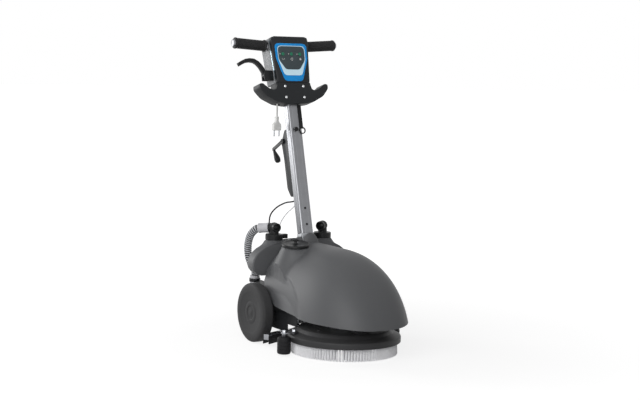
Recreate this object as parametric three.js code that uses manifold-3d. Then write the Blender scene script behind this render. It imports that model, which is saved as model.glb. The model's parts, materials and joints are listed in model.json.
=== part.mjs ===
// Compact mains scrubber dryer: one disc brush, two tanks, squeegee, tilting column and console.
// Millimetres, +Z up. The model is laid out from the brush centre on the floor, with the nose
// towards -Y, and is moved at the end so that the middle of its footprint is the origin.
import * as THREE from 'three';
import { mergeVertices, mergeGeometries } from 'three/addons/utils/BufferGeometryUtils.js';
import Module from 'manifold-3d';

const wasm = await Module();
wasm.setup();

// Fits shared by all pieces
const seatGap = 0.3;
const cutOverrun = 4;
const runningGap = 0.3;
const sheetWall = 3;
const degree = Math.PI / 180;

// Brush and its deck
const brushDiameter = 355;
const bristleHeight = 40;
const bristleSliceThickness = 4;
const bristleSliceWidth = 49.5;
const bristleRadius = 2.9;
const bristleFlare = 3;
const bristleRowPitch = 11;
// Strand counts from the outermost row inwards
const bristleRowCounts = [104, 80, 64, 52];
const brushBlockThickness = 12;
const brushBlockInset = 3;
const brushBlockBore = 26;
const deckOverhang = 9.9;
const deckRimBottom = 41.5;
const deckRimHeight = 19;
const deckWall = 3.5;
const deckRimRounding = 6;
const deckSlopeRun = 22;
const deckSlopeRise = 7;
const deckStepRun = 8;
const deckStepRise = 12;
const deckBore = 30;
const hubFlangeRadius = 45;
const hubFlangeThickness = 8;
const hubRadius = 24;
const driveShaftRadius = 9;
const driveShaftReach = 22;
const hubLugRadius = 5;
const hubLugCircle = 35;

// Brush drive
const gearboxRadius = 60;
const gearboxFlangeRadius = 84;
const gearboxFlangeThickness = 6;
const motorRadius = 54;
const motorHeight = 66;
const motorRibCount = 4;
const motorRibDepth = 3;
const motorRibWidth = 4;

// Chassis of folded sheet
const chassisPlateBottom = 118;
const chassisInset = 50;
const chassisFrontY = -85;
const chassisRearY = 330;
const sidePlateFrontY = -60;
const sidePlateTop = 199.7;
const valanceFrontY = 66;
const valanceDeckGap = 4.43;
const valanceStepBottom = 80;
const sidePlateFootBottom = 52;
const sidePlateFootRearY = 305;
const chassisCornerRadius = 20;
const motorPilotRadius = 49;

// Suction motor behind the brush motor
const suctionMotorRadius = 62;
const suctionMotorY = 150;

// Solenoid valve that lets water down to the brush
const valveInset = 47;
const valveY = 62;
const valveWidth = 26;
const valveHeight = 22;
const valveCoilRadius = 11;
const valveCoilHeight = 30;
const valveSpoutRadius = 5;
const valveSpoutLength = 16;

// Wheels and axle
const wheelDiameter = 200;
const wheelWidth = 40;
const wheelStandout = 18;
const squeegeeAxleGap = 62;
const axleRadius = 10;
const axleCollarRadius = 15;
const axleEndInset = 11;
const wheelShoulder = 7;
const wheelFaceDish = 2;
const wheelHubRadius = 22;
const wheelRingRadius = 38;
const wheelRimRadius = 68;

// Front tank, the domed body of the machine
const bodyHalfWidth = 193;
const bodyArcReach = 313;
const bodyArcCentreY = 66.5;
const bodyRearY = 289;
const bodyVirtualBase = 19;
const bodyRise = 317;
const bodyRimZ = 120;
const bodyFirstLevelZ = 146;
const bodyNoseDrop = 12;
const bodyRearLift = 27;
const bodyWall = 4.5;
const archGap = 5;
const bodyCornerRadius = 16;
const bodyPlanPower = 2.6;
const bodyDomePower = 2.15;
const tankFloorZ = 200;
const notchHalfWidth = 44;

// Moulded saddle in front of the column's foot
const saddleHalfWidth = 42;
const saddleReach = 20;
const saddleCentreY = 237;
const saddleBase = 262;
const saddleFirstLevelZ = 282;
const saddleRise = 106;
const saddleCorner = 4;
const saddlePower = 2.1;

// Styling crease on the lower flanks
const creaseDepth = 1.6;
const creaseTopZ = 239;
const creaseFrontY = -24;
const creaseSpread = 118;
const creasePower = 2.4;

// Filler hole and lid of the front tank
const lidInset = 108;
const lidY = 190;
const lidRadius = 47;
const lidNeckRadius = 43;
const lidNeckTop = 337;
const lidBore = 37;
const lidThickness = 4.2;
const lidLip = 5;
const lidNeckFlare = 34;
const lidNeckDrop = 80;
const lidNeckStraight = 7;
const lidTilt = 8;
const lidTiltBearing = 32;
const lidSpigotDepth = 9;
const knobStemRadius = 5;
const knobStemHeight = 8;
const knobLength = 20;
const knobWidth = 11;
const knobHeight = 6;
const lidTravel = 60;

// Rear tank
const rearInset = 3;
const rearArcReach = 120;
const rearArcCentreY = 300;
const rearFrontY = 291.5;
const rearBellyZ = 255;
const rearRise = 86;
const rearUnderDepth = 52;
const rearBottomZ = 220;
const rearPlanPower = 2.5;
const rearDomePower = 2.2;
const rearWall = 4.5;
const rearNotchBackY = 316;

// Necks, screw collars and elbows on the rear tank
const capInset = 94;
const capY = 320;
const capRadius = 30;
const capTop = 357.5;
const capBottom = 338.5;
const neckTop = 345.5;
const neckRadius = 27;
const neckDepth = 40;
const collarLugReach = 52;
const collarLugWidth = 18;
const collarGripDepth = 1.2;
const collarLugLift = 3;
const elbowStemRadius = 16;
const elbowFlangeRadius = 24;
const elbowFlangeThickness = 4.5;
const elbowCentreZ = 380.5;
const elbowRadius = 17.5;
const elbowBore = 12;
const elbowPlugRadius = 15.5;
const elbowPlugReach = 21;
const elbowSpigotRadius = 14;
const elbowSpigotReach = 34;
const elbowMouthReach = 24;
const collarTurn = 90;

// Float valve under the right elbow
const floatCageRadius = 22.5;
const floatCageWall = 2.2;
const floatCageDepth = 62;
const floatRadius = 16;
const floatTravel = 18;
const floatWindowWidth = 22;

// Suction hose, its cuffs and the lower rubber pipe
const hoseRibRadius = 14;
const hoseRootRadius = 12;
const hoseBoreRadius = 10.4;
const hoseRibPitch = 7.6;
const cuffRadius = 17;
const cuffLength = 39;
const cuffStart = 19;
const lowerCuffInset = 34;
const lowerCuffY = 429;
const lowerCuffTop = 200;
const lowerCuffHeight = 30;
const lowerCuffSeat = 14;
const pipeRadius = 14;
const clipWall = 2.5;
const clipHeight = 12;
const clipLift = 8;

// Bumper rollers beside the deck
const rollerDeckGap = 1.1;
const rollerY = 27.5;
const rollerRadius = 22.5;
const rollerBottom = 5;
const rollerTop = 60;
const rollerCrown = 4;
const rollerPinRadius = 4;
const rollerPlateThickness = 4;
const rollerPlateWidth = 22;
const rollerPlateInset = 23.4;
const rollerNutRadius = 7;
const rollerNutHeight = 8;

// Squeegee
const squeegeeDeckGap = 19.6;
const squeegeeHalfWidth = 215;
const squeegeeSag = 64.715;
const squeegeeBarBottom = 30;
const squeegeeBarTop = 48;
const squeegeeBarDepth = 18;
const bladeThickness = 3;
const bladeBottom = 16;
const bladeTop = 42;
const squeegeeLift = 16;
const nozzleBossWidth = 36;
const nozzleBossDepth = 22;
const nozzleZ = 60;
const nozzleRadius = 13;
const nozzleBore = 10;
const nozzleReach = 45;
const postX = 60;
const postRadius = 5;
const postTop = 140;

// Column, its foot and its bracket
const pivotY = 264;
const pivotZ = 330;
const restTilt = 15.54;
const pinRadius = 6;
const pinHeadRadius = 9;
const pinHeadThickness = 3.5;
const cheekThickness = 8;
const cheekRadius = 22;
const cheekInner = 24.3;
const columnWidth = 47;
const columnDepth = 36;
const columnCorner = 8;
const columnWall = 2.6;
const columnBottom = 32;
const columnTop = 676;
const footLobeRadius = 19.5;
const footSpigotHeight = 40;
const footSpigotGap = 0.4;
const columnScrewRadius = 2;
const columnScrewLow = 62;
const columnScrewHigh = 118;

// Rear housing on the column and its crank lever
const housingHalfWidth = 19;
const housingBottom = 166;
const housingTop = 402;
const housingDepth = 46;
const leverPivotY = 50;
const leverPivotZ = 366;
const leverArmLength = 68;
const leverArmWidth = 11;
const leverArmThickness = 6;
const leverHubRadius = 9;
const leverPinRadius = 3.6;
const leverGripLength = 56;
const leverGripRadius = 11.5;
const leverDrop = 48;

// Console
const consoleBottom = 556;
const consoleHeight = 164;
const consoleTopHalfWidth = 74;
const consoleBottomHalfWidth = 64;
const consoleFrontY = -38;
const consoleSplitY = -22;
const consoleBackY = 42;
const consoleWall = 3.5;
const consoleCorner = 14;
const consoleEdge = 4;
const panelThickness = 2.2;
const panelTopMargin = 26;
const panelShoulderDrop = 54;
const panelBottom = 560;
const panelTopHalfWidth = 63;
const panelShoulderHalfWidth = 62;
const panelBottomHalfWidth = 35;
const panelCorner = 15;
const borderInset = 8;
const borderBottom = 580;
const borderBottomHalfWidth = 35;
const borderWidth = 2.6;
const membraneBottom = 601;
const membraneBottomHalfWidth = 27;
const membraneThickness = 1.7;
const buttonRadius = 6;
const buttonPitch = 33.5;
const buttonDrop = 38;
const buttonTravel = 1;
const buttonFaceY = -42;
const boardHalfWidth = 48;
const boardBottom = 596;
const boardTopMargin = 40;
const boardY = -30;
const boardThickness = 1.6;
const boardPartHeight = 6;
const boardPartWidth = 20;
const boardPostRadius = 4;

// Cable hook below the console
const hookDrop = 75;
const hookHalfWidth = 135;
const hookTipRise = 71;
const hookFlankRise = 27;
const hookFlankHalfWidth = 112;
const hookFloorHalfWidth = 70;
const hookArmThickness = 17;
const hookFrontY = -36;
const hookBackY = 14;
const hookTipRounding = 8;

// Handlebar, grips and release lever
const barTopMargin = 32;
const barRadius = 13;
const barHalfSpan = 204;
const barRise = 14;
const gripInnerX = 80;
const gripLength = 118;
const gripRadius = 18.8;
const gripEndFlare = 2;
const releaseBlockBottom = 569;
const releaseBlockTop = 603;
const releaseBlockDepth = 22;
const releasePivotX = 94;
const releasePivotZ = 586;
const releaseHubRadius = 8;
const releasePinRadius = 3.2;
const releaseLeverY = -4;
const releaseLeverDepth = 13;
const releaseBarHeight = 12;
const releaseTravel = 9;

// Mains pigtail: gland, cord and plug
const cordX = -56;
const cordLocalY = -6;
const cordRadius = 3.5;
const cordLength = 44;
const glandTopRadius = 8;
const glandTipRadius = 5;
const glandLength = 14;
const glandSocketDepth = 8;
const plugLength = 48;
const plugWidth = 29;
const plugDepth = 14;
const plugNeckWidth = 10;
const plugCorner = 2;
const plugPinRadius = 2.4;
const plugPinLength = 21;
const plugPinPitch = 19;

// Retaining strap on the column's front
const strapX = 19.5;
const strapWidth = 13;
const strapThickness = 2.5;
const strapTopGap = 1.5;
const strapBottom = 396;
const strapRingRadius = 12.5;
const strapRingBar = 3.6;
const strapRingX = 22;
const strapStudX = -3;
const strapStudZ = 394;
const strapStudRadius = 6;
const strapStudHeight = 6;
const strapSwing = 85;

// Cables between the column and the body
const loomRadius = 2.6;
const liftCableRadius = 1.5;
const loomStartX = -9;
const loomEndX = -88;
const loomEndY = 366;
const liftCableStartX = 5;
const liftCableEndX = -60;
const liftCableEndY = 356;
const grommetRadius = 6;
const grommetHeight = 7;
const loomLead = 14;
const liftCableLead = 16;

// Sizes that follow from the ones above
const brushRadius = brushDiameter / 2;
const bristleSliceInnerRadius = brushRadius - bristleSliceWidth;
const deckRadius = brushRadius + deckOverhang;
const chassisHalfWidth = bodyHalfWidth - chassisInset;
const valanceInnerX = chassisHalfWidth - sheetWall;
const wheelOuterFace = bodyHalfWidth + wheelStandout;
const valveX = chassisHalfWidth - valveInset;
const lowerCuffX = lowerCuffInset - chassisHalfWidth;
const lidX = lidInset - bodyHalfWidth;
const rearHalfWidth = bodyHalfWidth - rearInset;
const capX = rearHalfWidth - capInset;
const valanceStepY = Math.sqrt(deckRadius ** 2 - valanceInnerX ** 2) + valanceDeckGap;
const rollerX = deckRadius + rollerDeckGap + rollerRadius;
const rollerPlateInnerX = deckRadius - rollerPlateInset;
const squeegeeY = deckRadius + squeegeeDeckGap;
const squeegeeSweep = squeegeeSag / squeegeeHalfWidth ** 2;
const nozzleEndY = squeegeeY + nozzleReach;
const axleY = squeegeeY + squeegeeAxleGap;
const consoleTop = consoleBottom + consoleHeight;
const panelTop = consoleTop - panelTopMargin;
const panelShoulder = panelTop - panelShoulderDrop;
const buttonZ = panelTop - buttonDrop;
const boardTop = consoleTop - boardTopMargin;
const barZ = consoleTop - barTopMargin;
const hookBottom = consoleBottom - hookDrop;
const hookTipZ = hookBottom + hookTipRise;
const hookFlankZ = hookBottom + hookFlankRise;
const strapTop = hookBottom - strapTopGap;

// Facets
const fineSides = 28;
const midSides = 14;
const smallSides = 8;
const cordSides = 8;

// Materials
function material(color, roughness, metalness) {
  return new THREE.MeshStandardMaterial({ color, roughness, metalness });
}

const finish = {
  body: material(0x5a5b5d, 0.55, 0),
  black: material(0x1b1b1c, 0.5, 0),
  charcoal: material(0x2b2d2f, 0.5, 0),
  deck: material(0x3a3a3b, 0.55, 0),
  tyre: material(0x424243, 0.65, 0),
  grip: material(0x262627, 0.7, 0),
  mottled: material(0x8d8f91, 0.6, 0),
  blue: material(0x0a8cd7, 0.35, 0),
  silver: material(0xb9d3df, 0.3, 0.6),
  membrane: material(0x4b5558, 0.5, 0),
  green: material(0x0c7a58, 0.4, 0),
  aluminium: material(0xb4b6b8, 0.35, 0.9),
  casting: material(0x8f9193, 0.4, 0.8),
  chrome: material(0xd8d8da, 0.15, 1),
  steel: material(0x8a8c8f, 0.4, 0.9),
  sheet: material(0x202122, 0.5, 0.3),
  cuff: material(0xb8b8bc, 0.5, 0),
  hose: material(0x55565a, 0.5, 0),
  bristle: material(0xd5d5d7, 0.7, 0),
  white: material(0xe4e4e2, 0.5, 0),
  rubber: material(0x18181a, 0.8, 0),
};

// Geometry helpers

// Merges shared corners and leaves out triangles that have collapsed.
function weld(geometry) {
  const bare = geometry.clone();
  for (const name of Object.keys(bare.attributes)) {
    if (name !== 'position') bare.deleteAttribute(name);
  }
  const merged = mergeVertices(bare, 1e-4);
  const index = merged.getIndex().array;
  const kept = [];
  for (let i = 0; i < index.length; i += 3) {
    const [a, b, c] = [index[i], index[i + 1], index[i + 2]];
    if (a !== b && b !== c && c !== a) kept.push(a, b, c);
  }
  merged.setIndex(kept);
  return merged;
}

function toSolid(geometry) {
  const merged = weld(geometry);
  return new wasm.Manifold(new wasm.Mesh({
    numProp: 3,
    vertProperties: new Float32Array(merged.getAttribute('position').array),
    triVerts: new Uint32Array(merged.getIndex().array),
  }));
}

function toGeometry(solid) {
  const mesh = solid.getMesh();
  const geometry = new THREE.BufferGeometry();
  geometry.setAttribute('position', new THREE.BufferAttribute(new Float32Array(mesh.vertProperties), 3));
  geometry.setIndex(new THREE.BufferAttribute(new Uint32Array(mesh.triVerts), 1));
  return geometry;
}

function join(...geometries) {
  return toGeometry(geometries.map(toSolid).reduce((sum, solid) => sum.add(solid)));
}

function cut(geometry, ...tools) {
  return toGeometry(tools.map(toSolid).reduce((rest, tool) => rest.subtract(tool), toSolid(geometry)));
}

// A block between two opposite corners.
function block(x0, y0, z0, x1, y1, z1) {
  const geometry = new THREE.BoxGeometry(x1 - x0, y1 - y0, z1 - z0);
  geometry.translate((x0 + x1) / 2, (y0 + y1) / 2, (z0 + z1) / 2);
  return geometry;
}

// A turned piece around Z from [radius, height] pairs.
function turned(profile, sides) {
  const points = profile.map(([r, z]) => new THREE.Vector2(r, z));
  const geometry = new THREE.LatheGeometry(points, sides);
  geometry.rotateX(Math.PI / 2);
  return geometry;
}

// A turned ring, whose profile closes on itself.
function turnedRing(profile, sides) {
  return turned([...profile, profile[0]], sides);
}

// Moves a piece made along +Z so that it starts at a point and runs along a direction.
function along(geometry, start, direction) {
  const turn = new THREE.Quaternion().setFromUnitVectors(
    new THREE.Vector3(0, 0, 1), direction.clone().normalize());
  geometry.applyQuaternion(turn);
  geometry.translate(start.x, start.y, start.z);
  return geometry;
}

function rod(radius, start, end, sides = smallSides) {
  const span = end.clone().sub(start);
  const geometry = turned([[0, 0], [radius, 0], [radius, span.length()], [0, span.length()]], sides);
  return along(geometry, start, span);
}

// Radius of a faceted bore whose flats clear a shaft by the running gap.
function boreRadius(shaftRadius, sides) {
  return (shaftRadius + runningGap) / Math.cos(Math.PI / sides);
}

// A tool for a hole that a shaft turns or sits in.
function shaftHole(shaftRadius, start, end, sides = smallSides) {
  return rod(boreRadius(shaftRadius, sides), start, end, sides);
}

function point(x, y, z) {
  return new THREE.Vector3(x, y, z);
}

// An outline with rounded corners from [x, y, radius] corners, in order.
function roundedOutline(corners, steps = 3) {
  const points = [];
  const count = corners.length;
  for (let i = 0; i < count; i += 1) {
    const [x, y, radius] = corners[i];
    const here = new THREE.Vector2(x, y);
    const [px, py] = corners[(i + count - 1) % count];
    const [nx, ny] = corners[(i + 1) % count];
    const before = new THREE.Vector2(px, py).sub(here);
    const after = new THREE.Vector2(nx, ny).sub(here);
    if (!radius) {
      points.push(here);
      continue;
    }
    const half = Math.acos(before.clone().normalize().dot(after.clone().normalize())) / 2;
    const reach = Math.min(radius / Math.tan(half), before.length() / 2, after.length() / 2);
    const from = here.clone().add(before.setLength(reach));
    const to = here.clone().add(after.setLength(reach));
    const curve = new THREE.QuadraticBezierCurve(from, here, to);
    points.push(...curve.getPoints(steps));
  }
  return new THREE.Shape(points);
}

function extruded(shape, depth, steps = smallSides) {
  return new THREE.ExtrudeGeometry(shape, { depth, bevelEnabled: false, curveSegments: steps });
}

// A plate whose outline lies in X and Z, from y0 to y1.
function plateFacingY(shape, y0, y1) {
  const geometry = extruded(shape, y1 - y0);
  geometry.rotateX(Math.PI / 2);
  geometry.translate(0, y1, 0);
  return geometry;
}

// A plate whose outline lies in Y and Z, from x0 to x1.
function plateFacingX(shape, x0, x1) {
  const geometry = extruded(shape, x1 - x0);
  const basis = new THREE.Matrix4().makeBasis(point(0, 1, 0), point(0, 0, 1), point(1, 0, 0));
  geometry.applyMatrix4(basis);
  geometry.translate(x0, 0, 0);
  return geometry;
}

// A plate whose outline lies in X and Y, from z0 to z1.
function plateFacingZ(shape, z0, z1) {
  const geometry = extruded(shape, z1 - z0);
  geometry.translate(0, 0, z0);
  return geometry;
}

function circleShape(x, y, radius, sides) {
  const shape = new THREE.Shape();
  for (let i = 0; i < sides; i += 1) {
    const angle = (i / sides) * 2 * Math.PI;
    const [px, py] = [x + radius * Math.cos(angle), y + radius * Math.sin(angle)];
    if (i === 0) shape.moveTo(px, py);
    else shape.lineTo(px, py);
  }
  shape.closePath();
  return shape;
}

// A round bar swept along a smooth curve through the points.
function swept(points, radius, sides, steps) {
  const path = new THREE.CatmullRomCurve3(points, false, 'centripetal');
  return new THREE.ExtrudeGeometry(circleShape(0, 0, radius, sides), {
    extrudePath: path, steps, bevelEnabled: false, curveSegments: sides,
  });
}

const model = new THREE.Group();
const column = new THREE.Group();
column.position.set(0, pivotY, pivotZ);
column.rotation.x = -restTilt * degree;
model.add(column);

function add(name, geometry, look, group = model) {
  const mesh = new THREE.Mesh(weld(geometry), look);
  mesh.name = name;
  group.add(mesh);
  return mesh;
}

// Brush: a ring of bristles, its block and the drive hub

const blockBottom = bristleHeight + bristleSliceThickness + seatGap;
const blockTop = blockBottom + brushBlockThickness;
const deckRimTop = deckRimBottom + deckRimHeight;
const deckSlopeTop = deckRimTop + deckRimRounding / 2 + deckSlopeRise;
const deckTop = deckSlopeTop + deckStepRise;

// Each strand starts a little under the floor, and the ring is then trimmed level.
function bristleStrand(angle, row) {
  const topRadius = brushRadius - bristleFlare - bristleRadius - row * bristleRowPitch;
  const foot = point(Math.cos(angle), Math.sin(angle), 0).multiplyScalar(topRadius + bristleFlare);
  foot.z = -bristleRadius;
  const head = point(Math.cos(angle), Math.sin(angle), 0).multiplyScalar(topRadius);
  head.z = bristleHeight + bristleSliceThickness / 2;
  const span = head.clone().sub(foot);
  return along(extruded(circleShape(0, 0, bristleRadius, 3), span.length()), foot, span);
}

function bristleRing() {
  const slice = turnedRing([
    [bristleSliceInnerRadius, bristleHeight],
    [brushRadius, bristleHeight],
    [brushRadius, bristleHeight + bristleSliceThickness],
    [bristleSliceInnerRadius, bristleHeight + bristleSliceThickness],
  ], fineSides);
  const strands = [];
  bristleRowCounts.forEach((count, row) => {
    for (let i = 0; i < count; i += 1) {
      strands.push(weld(bristleStrand(((i + row / 2) / count) * 2 * Math.PI, row)));
    }
  });
  const trim = block(-brushDiameter, -brushDiameter, -brushDiameter, brushDiameter, brushDiameter, 0);
  return cut(toGeometry(toSolid(slice).add(toSolid(mergeGeometries(strands)))), trim);
}

function brushBlock() {
  const radius = brushRadius - brushBlockInset;
  return turnedRing([
    [brushBlockBore, blockBottom], [radius, blockBottom], [radius, blockTop], [brushBlockBore, blockTop],
  ], fineSides);
}

function driveHub() {
  const bottom = blockTop + seatGap;
  const shoulder = deckTop - deckWall;
  const body = turned([
    [0, bottom], [hubFlangeRadius, bottom], [hubFlangeRadius, bottom + hubFlangeThickness],
    [hubRadius, bottom + hubFlangeThickness], [hubRadius, shoulder],
    [driveShaftRadius, shoulder], [driveShaftRadius, deckTop + driveShaftReach],
    [0, deckTop + driveShaftReach],
  ], smallSides);
  const lugs = [];
  for (let i = 0; i < 3; i += 1) {
    const angle = (i / 3) * 2 * Math.PI;
    const start = point(hubLugCircle * Math.cos(angle), hubLugCircle * Math.sin(angle), bottom);
    const end = start.clone().setZ(bottom + hubFlangeThickness + hubLugRadius);
    lugs.push(rod(hubLugRadius, start, end));
  }
  return join(body, ...lugs);
}

add('bristle_ring', bristleRing(), finish.bristle);
add('brush_block', brushBlock(), finish.black);
add('drive_hub', driveHub(), finish.steel);

function brushDeck() {
  const slopeInner = deckRadius - deckRimRounding - deckSlopeRun;
  const stepInner = slopeInner - deckStepRun;
  return turnedRing([
    [deckRadius - deckWall, deckRimBottom],
    [deckRadius, deckRimBottom],
    [deckRadius, deckRimTop - deckRimRounding / 3],
    [deckRadius - deckRimRounding, deckRimTop + deckRimRounding / 2],
    [slopeInner, deckSlopeTop],
    [stepInner, deckTop],
    [deckBore, deckTop],
    [deckBore, deckTop - deckWall],
    [stepInner - deckWall, deckTop - deckWall],
    [slopeInner, deckSlopeTop - deckWall],
    [deckRadius - deckWall, deckRimTop - deckRimRounding],
  ], fineSides);
}

add('brush_deck', brushDeck(), finish.deck);

const chassisPlateTop = chassisPlateBottom + sheetWall;

function driveGearbox() {
  const bottom = deckTop + seatGap;
  const top = chassisPlateBottom - seatGap;
  const boreTop = deckTop + driveShaftReach + runningGap;
  const bore = boreRadius(driveShaftRadius, midSides);
  return turned([
    [0, boreTop], [bore, boreTop], [bore, bottom], [gearboxRadius, bottom],
    [gearboxRadius, top - gearboxFlangeThickness], [gearboxFlangeRadius, top - gearboxFlangeThickness],
    [gearboxFlangeRadius, top], [0, top],
  ], midSides);
}

// A motor can with ribs down its side and a domed end.
function motorCan(radius, height, ribs, x, y) {
  const bottom = chassisPlateTop + seatGap;
  const core = radius - motorRibDepth;
  const parts = [turned([
    [0, bottom], [radius, bottom], [radius, bottom + motorRibWidth], [core, bottom + motorRibWidth],
    [core, bottom + height - 2 * motorRibWidth], [core - motorRibWidth, bottom + height - motorRibWidth / 2],
    [core / 2, bottom + height], [0, bottom + height],
  ], smallSides)];
  for (let i = 0; i < ribs; i += 1) {
    const rib = block(core - motorRibDepth, -motorRibWidth / 2, bottom + motorRibWidth / 2,
      radius, motorRibWidth / 2, bottom + height - 2 * motorRibWidth);
    rib.rotateZ((i / ribs) * 2 * Math.PI);
    parts.push(rib);
  }
  const can = join(...parts);
  can.translate(x, y, 0);
  return can;
}

add('drive_gearbox', driveGearbox(), finish.casting);
add('brush_motor', motorCan(motorRadius, motorHeight, motorRibCount, 0, 0), finish.steel);
add('suction_motor', motorCan(suctionMotorRadius, motorHeight, motorRibCount, 0, suctionMotorY), finish.black);

function solutionValve() {
  const bottom = chassisPlateTop + seatGap;
  const half = valveWidth / 2;
  const body = block(valveX - half, valveY - half, bottom, valveX + half, valveY + half, bottom + valveHeight);
  const coil = rod(valveCoilRadius, point(valveX, valveY, bottom + valveHeight / 2),
    point(valveX, valveY, bottom + valveHeight + valveCoilHeight), smallSides);
  const spout = rod(valveSpoutRadius, point(valveX, valveY, bottom + valveHeight / 2),
    point(valveX, valveY - half - valveSpoutLength, bottom + valveHeight / 2), cordSides);
  return join(body, coil, spout);
}

add('solution_valve', solutionValve(), finish.black);

// Chassis, wheels and axle

const wheelRadius = wheelDiameter / 2;
const wheelInnerFace = wheelOuterFace - wheelWidth;

function chassis() {
  const floor = plateFacingZ(roundedOutline([
    [-chassisHalfWidth, chassisRearY, 0],
    [-chassisHalfWidth, sidePlateFrontY, 0],
    [-chassisHalfWidth + chassisCornerRadius, chassisFrontY, chassisCornerRadius],
    [chassisHalfWidth - chassisCornerRadius, chassisFrontY, chassisCornerRadius],
    [chassisHalfWidth, sidePlateFrontY, 0],
    [chassisHalfWidth, chassisRearY, 0],
  ]), chassisPlateBottom, chassisPlateTop);
  const sideOutline = () => roundedOutline([
    [sidePlateFrontY, chassisPlateBottom, 0],
    [valanceFrontY, chassisPlateBottom, 0],
    [valanceFrontY, valanceStepBottom, 0],
    [valanceStepY, valanceStepBottom, 0],
    [valanceStepY, sidePlateFootBottom, 0],
    [sidePlateFootRearY, sidePlateFootBottom, chassisCornerRadius],
    [chassisRearY, chassisPlateBottom, 0],
    [chassisRearY, sidePlateTop, 0],
    [sidePlateFrontY, sidePlateTop, chassisCornerRadius],
  ]);
  const left = plateFacingX(sideOutline(), -chassisHalfWidth, -chassisHalfWidth + sheetWall);
  const right = plateFacingX(sideOutline(), chassisHalfWidth - sheetWall, chassisHalfWidth);
  const below = chassisPlateBottom - cutOverrun;
  const above = chassisPlateTop + cutOverrun;
  const axleHole = shaftHole(axleRadius, point(-chassisHalfWidth - cutOverrun, axleY, wheelRadius),
    point(chassisHalfWidth + cutOverrun, axleY, wheelRadius));
  const pilot = rod(motorPilotRadius, point(0, 0, below), point(0, 0, above), midSides);
  const posts = [-postX, postX].map((x) => shaftHole(postRadius,
    point(x, postY(x), below), point(x, postY(x), above)));
  return cut(join(floor, left, right), axleHole, pilot, ...posts);
}

// Both guide posts stand on the squeegee bar's centre line.
function postY(x) {
  return squeegeeY - squeegeeSweep * x * x;
}

function wheel(side) {
  const end = wheelOuterFace - axleEndInset;
  const bore = boreRadius(axleRadius, fineSides);
  const geometry = turned([
    [0, end], [bore, end], [bore, wheelInnerFace], [wheelHubRadius, wheelInnerFace],
    [wheelRadius - wheelShoulder, wheelInnerFace],
    [wheelRadius, wheelInnerFace + wheelShoulder], [wheelRadius, wheelOuterFace - wheelShoulder],
    [wheelRadius - wheelShoulder / 3, wheelOuterFace - wheelShoulder / 3],
    [wheelRadius - wheelShoulder, wheelOuterFace], [wheelRimRadius, wheelOuterFace],
    [wheelRingRadius, wheelOuterFace - wheelFaceDish], [0, wheelOuterFace - wheelFaceDish],
  ], fineSides);
  return along(geometry, point(0, axleY, wheelRadius), point(side, 0, 0));
}

function wheelAxle() {
  const end = wheelOuterFace - axleEndInset - seatGap;
  const collarStart = chassisHalfWidth + seatGap;
  const collarEnd = wheelInnerFace - seatGap;
  const half = [
    [axleRadius, collarStart], [axleCollarRadius, collarStart], [axleCollarRadius, collarEnd],
    [axleRadius, collarEnd], [axleRadius, end], [0, end],
  ];
  const mirrored = half.map(([r, z]) => [r, -z]).reverse();
  const geometry = turned([...mirrored, ...half], smallSides);
  return along(geometry, point(0, axleY, wheelRadius), point(1, 0, 0));
}

add('chassis', chassis(), finish.sheet);
add('wheel_axle', wheelAxle(), finish.steel);
add('wheel_left', wheel(-1), finish.tyre);
add('wheel_right', wheel(1), finish.tyre);

// Tanks: a stack of plan outlines, half superellipse at one end and square at the other

// Share of the full plan size at a height above the widest level.
function domeShare(height, rise, power) {
  return Math.pow(Math.max(0, 1 - Math.pow(height / rise, power)), 1 / power);
}

// One plan ring. The arc bulges towards direction (-1 is forward) and the other end is square.
function planRing(tank, share, steps) {
  const ring = [];
  const halfWidth = tank.halfWidth * share;
  const reach = tank.reach * share;
  const square = tank.squareY;
  const depth = Math.min(tank.corner, Math.abs(square - tank.centreY) * 0.6);
  const corner = Math.min(depth, halfWidth / 2);
  const inward = -Math.sign(square - tank.centreY);
  ring.push([halfWidth - corner, square]);
  ring.push([halfWidth - corner * 0.3, square + inward * depth * 0.3]);
  ring.push([halfWidth, square + inward * depth]);
  for (let i = 0; i <= steps; i += 1) {
    const angle = (i / steps) * Math.PI;
    const c = Math.cos(angle);
    const s = Math.sin(angle);
    const x = halfWidth * Math.sign(c) * Math.pow(Math.abs(c), 2 / tank.power);
    const y = tank.centreY + inward * reach * Math.pow(Math.abs(s), 2 / tank.power);
    ring.push([x, y]);
  }
  ring.push([-halfWidth, square + inward * depth]);
  ring.push([-halfWidth + corner * 0.3, square + inward * depth * 0.3]);
  ring.push([-halfWidth + corner, square]);
  return ring;
}

// Skins plan rings, lowest first, and closes the bottom and the top with fans.
function skinRings(rings, forward) {
  const positions = [];
  const index = [];
  const count = rings[0].length;
  rings.forEach((ring) => ring.forEach(([x, y, z]) => positions.push(x, y, z)));
  const quad = (a, b, c, d) => (forward ? index.push(a, c, b, a, d, c) : index.push(a, b, c, a, c, d));
  for (let level = 0; level + 1 < rings.length; level += 1) {
    for (let i = 0; i < count; i += 1) {
      const next = (i + 1) % count;
      const low = level * count;
      const high = low + count;
      quad(low + i, low + next, high + next, high + i);
    }
  }
  const fan = (ring, offset, up) => {
    const centre = positions.length / 3;
    const sum = ring.reduce((acc, p) => acc.map((v, k) => v + p[k] / count), [0, 0, 0]);
    positions.push(...sum);
    for (let i = 0; i < count; i += 1) {
      const next = (i + 1) % count;
      if (up === forward) index.push(centre, offset + next, offset + i);
      else index.push(centre, offset + i, offset + next);
    }
  };
  fan(rings[0], 0, false);
  fan(rings[rings.length - 1], (rings.length - 1) * count, true);
  const geometry = new THREE.BufferGeometry();
  geometry.setAttribute('position', new THREE.Float32BufferAttribute(positions, 3));
  geometry.setIndex(index);
  return geometry;
}

function stack(tank, levels, steps, liftOf = () => 0) {
  const rings = levels.map(({ z, share }, i) => planRing(tank, share, steps)
    .map(([x, y]) => [x, y, z + liftOf(x, y, i)]));
  return skinRings(rings, tank.squareY > tank.centreY);
}

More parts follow.
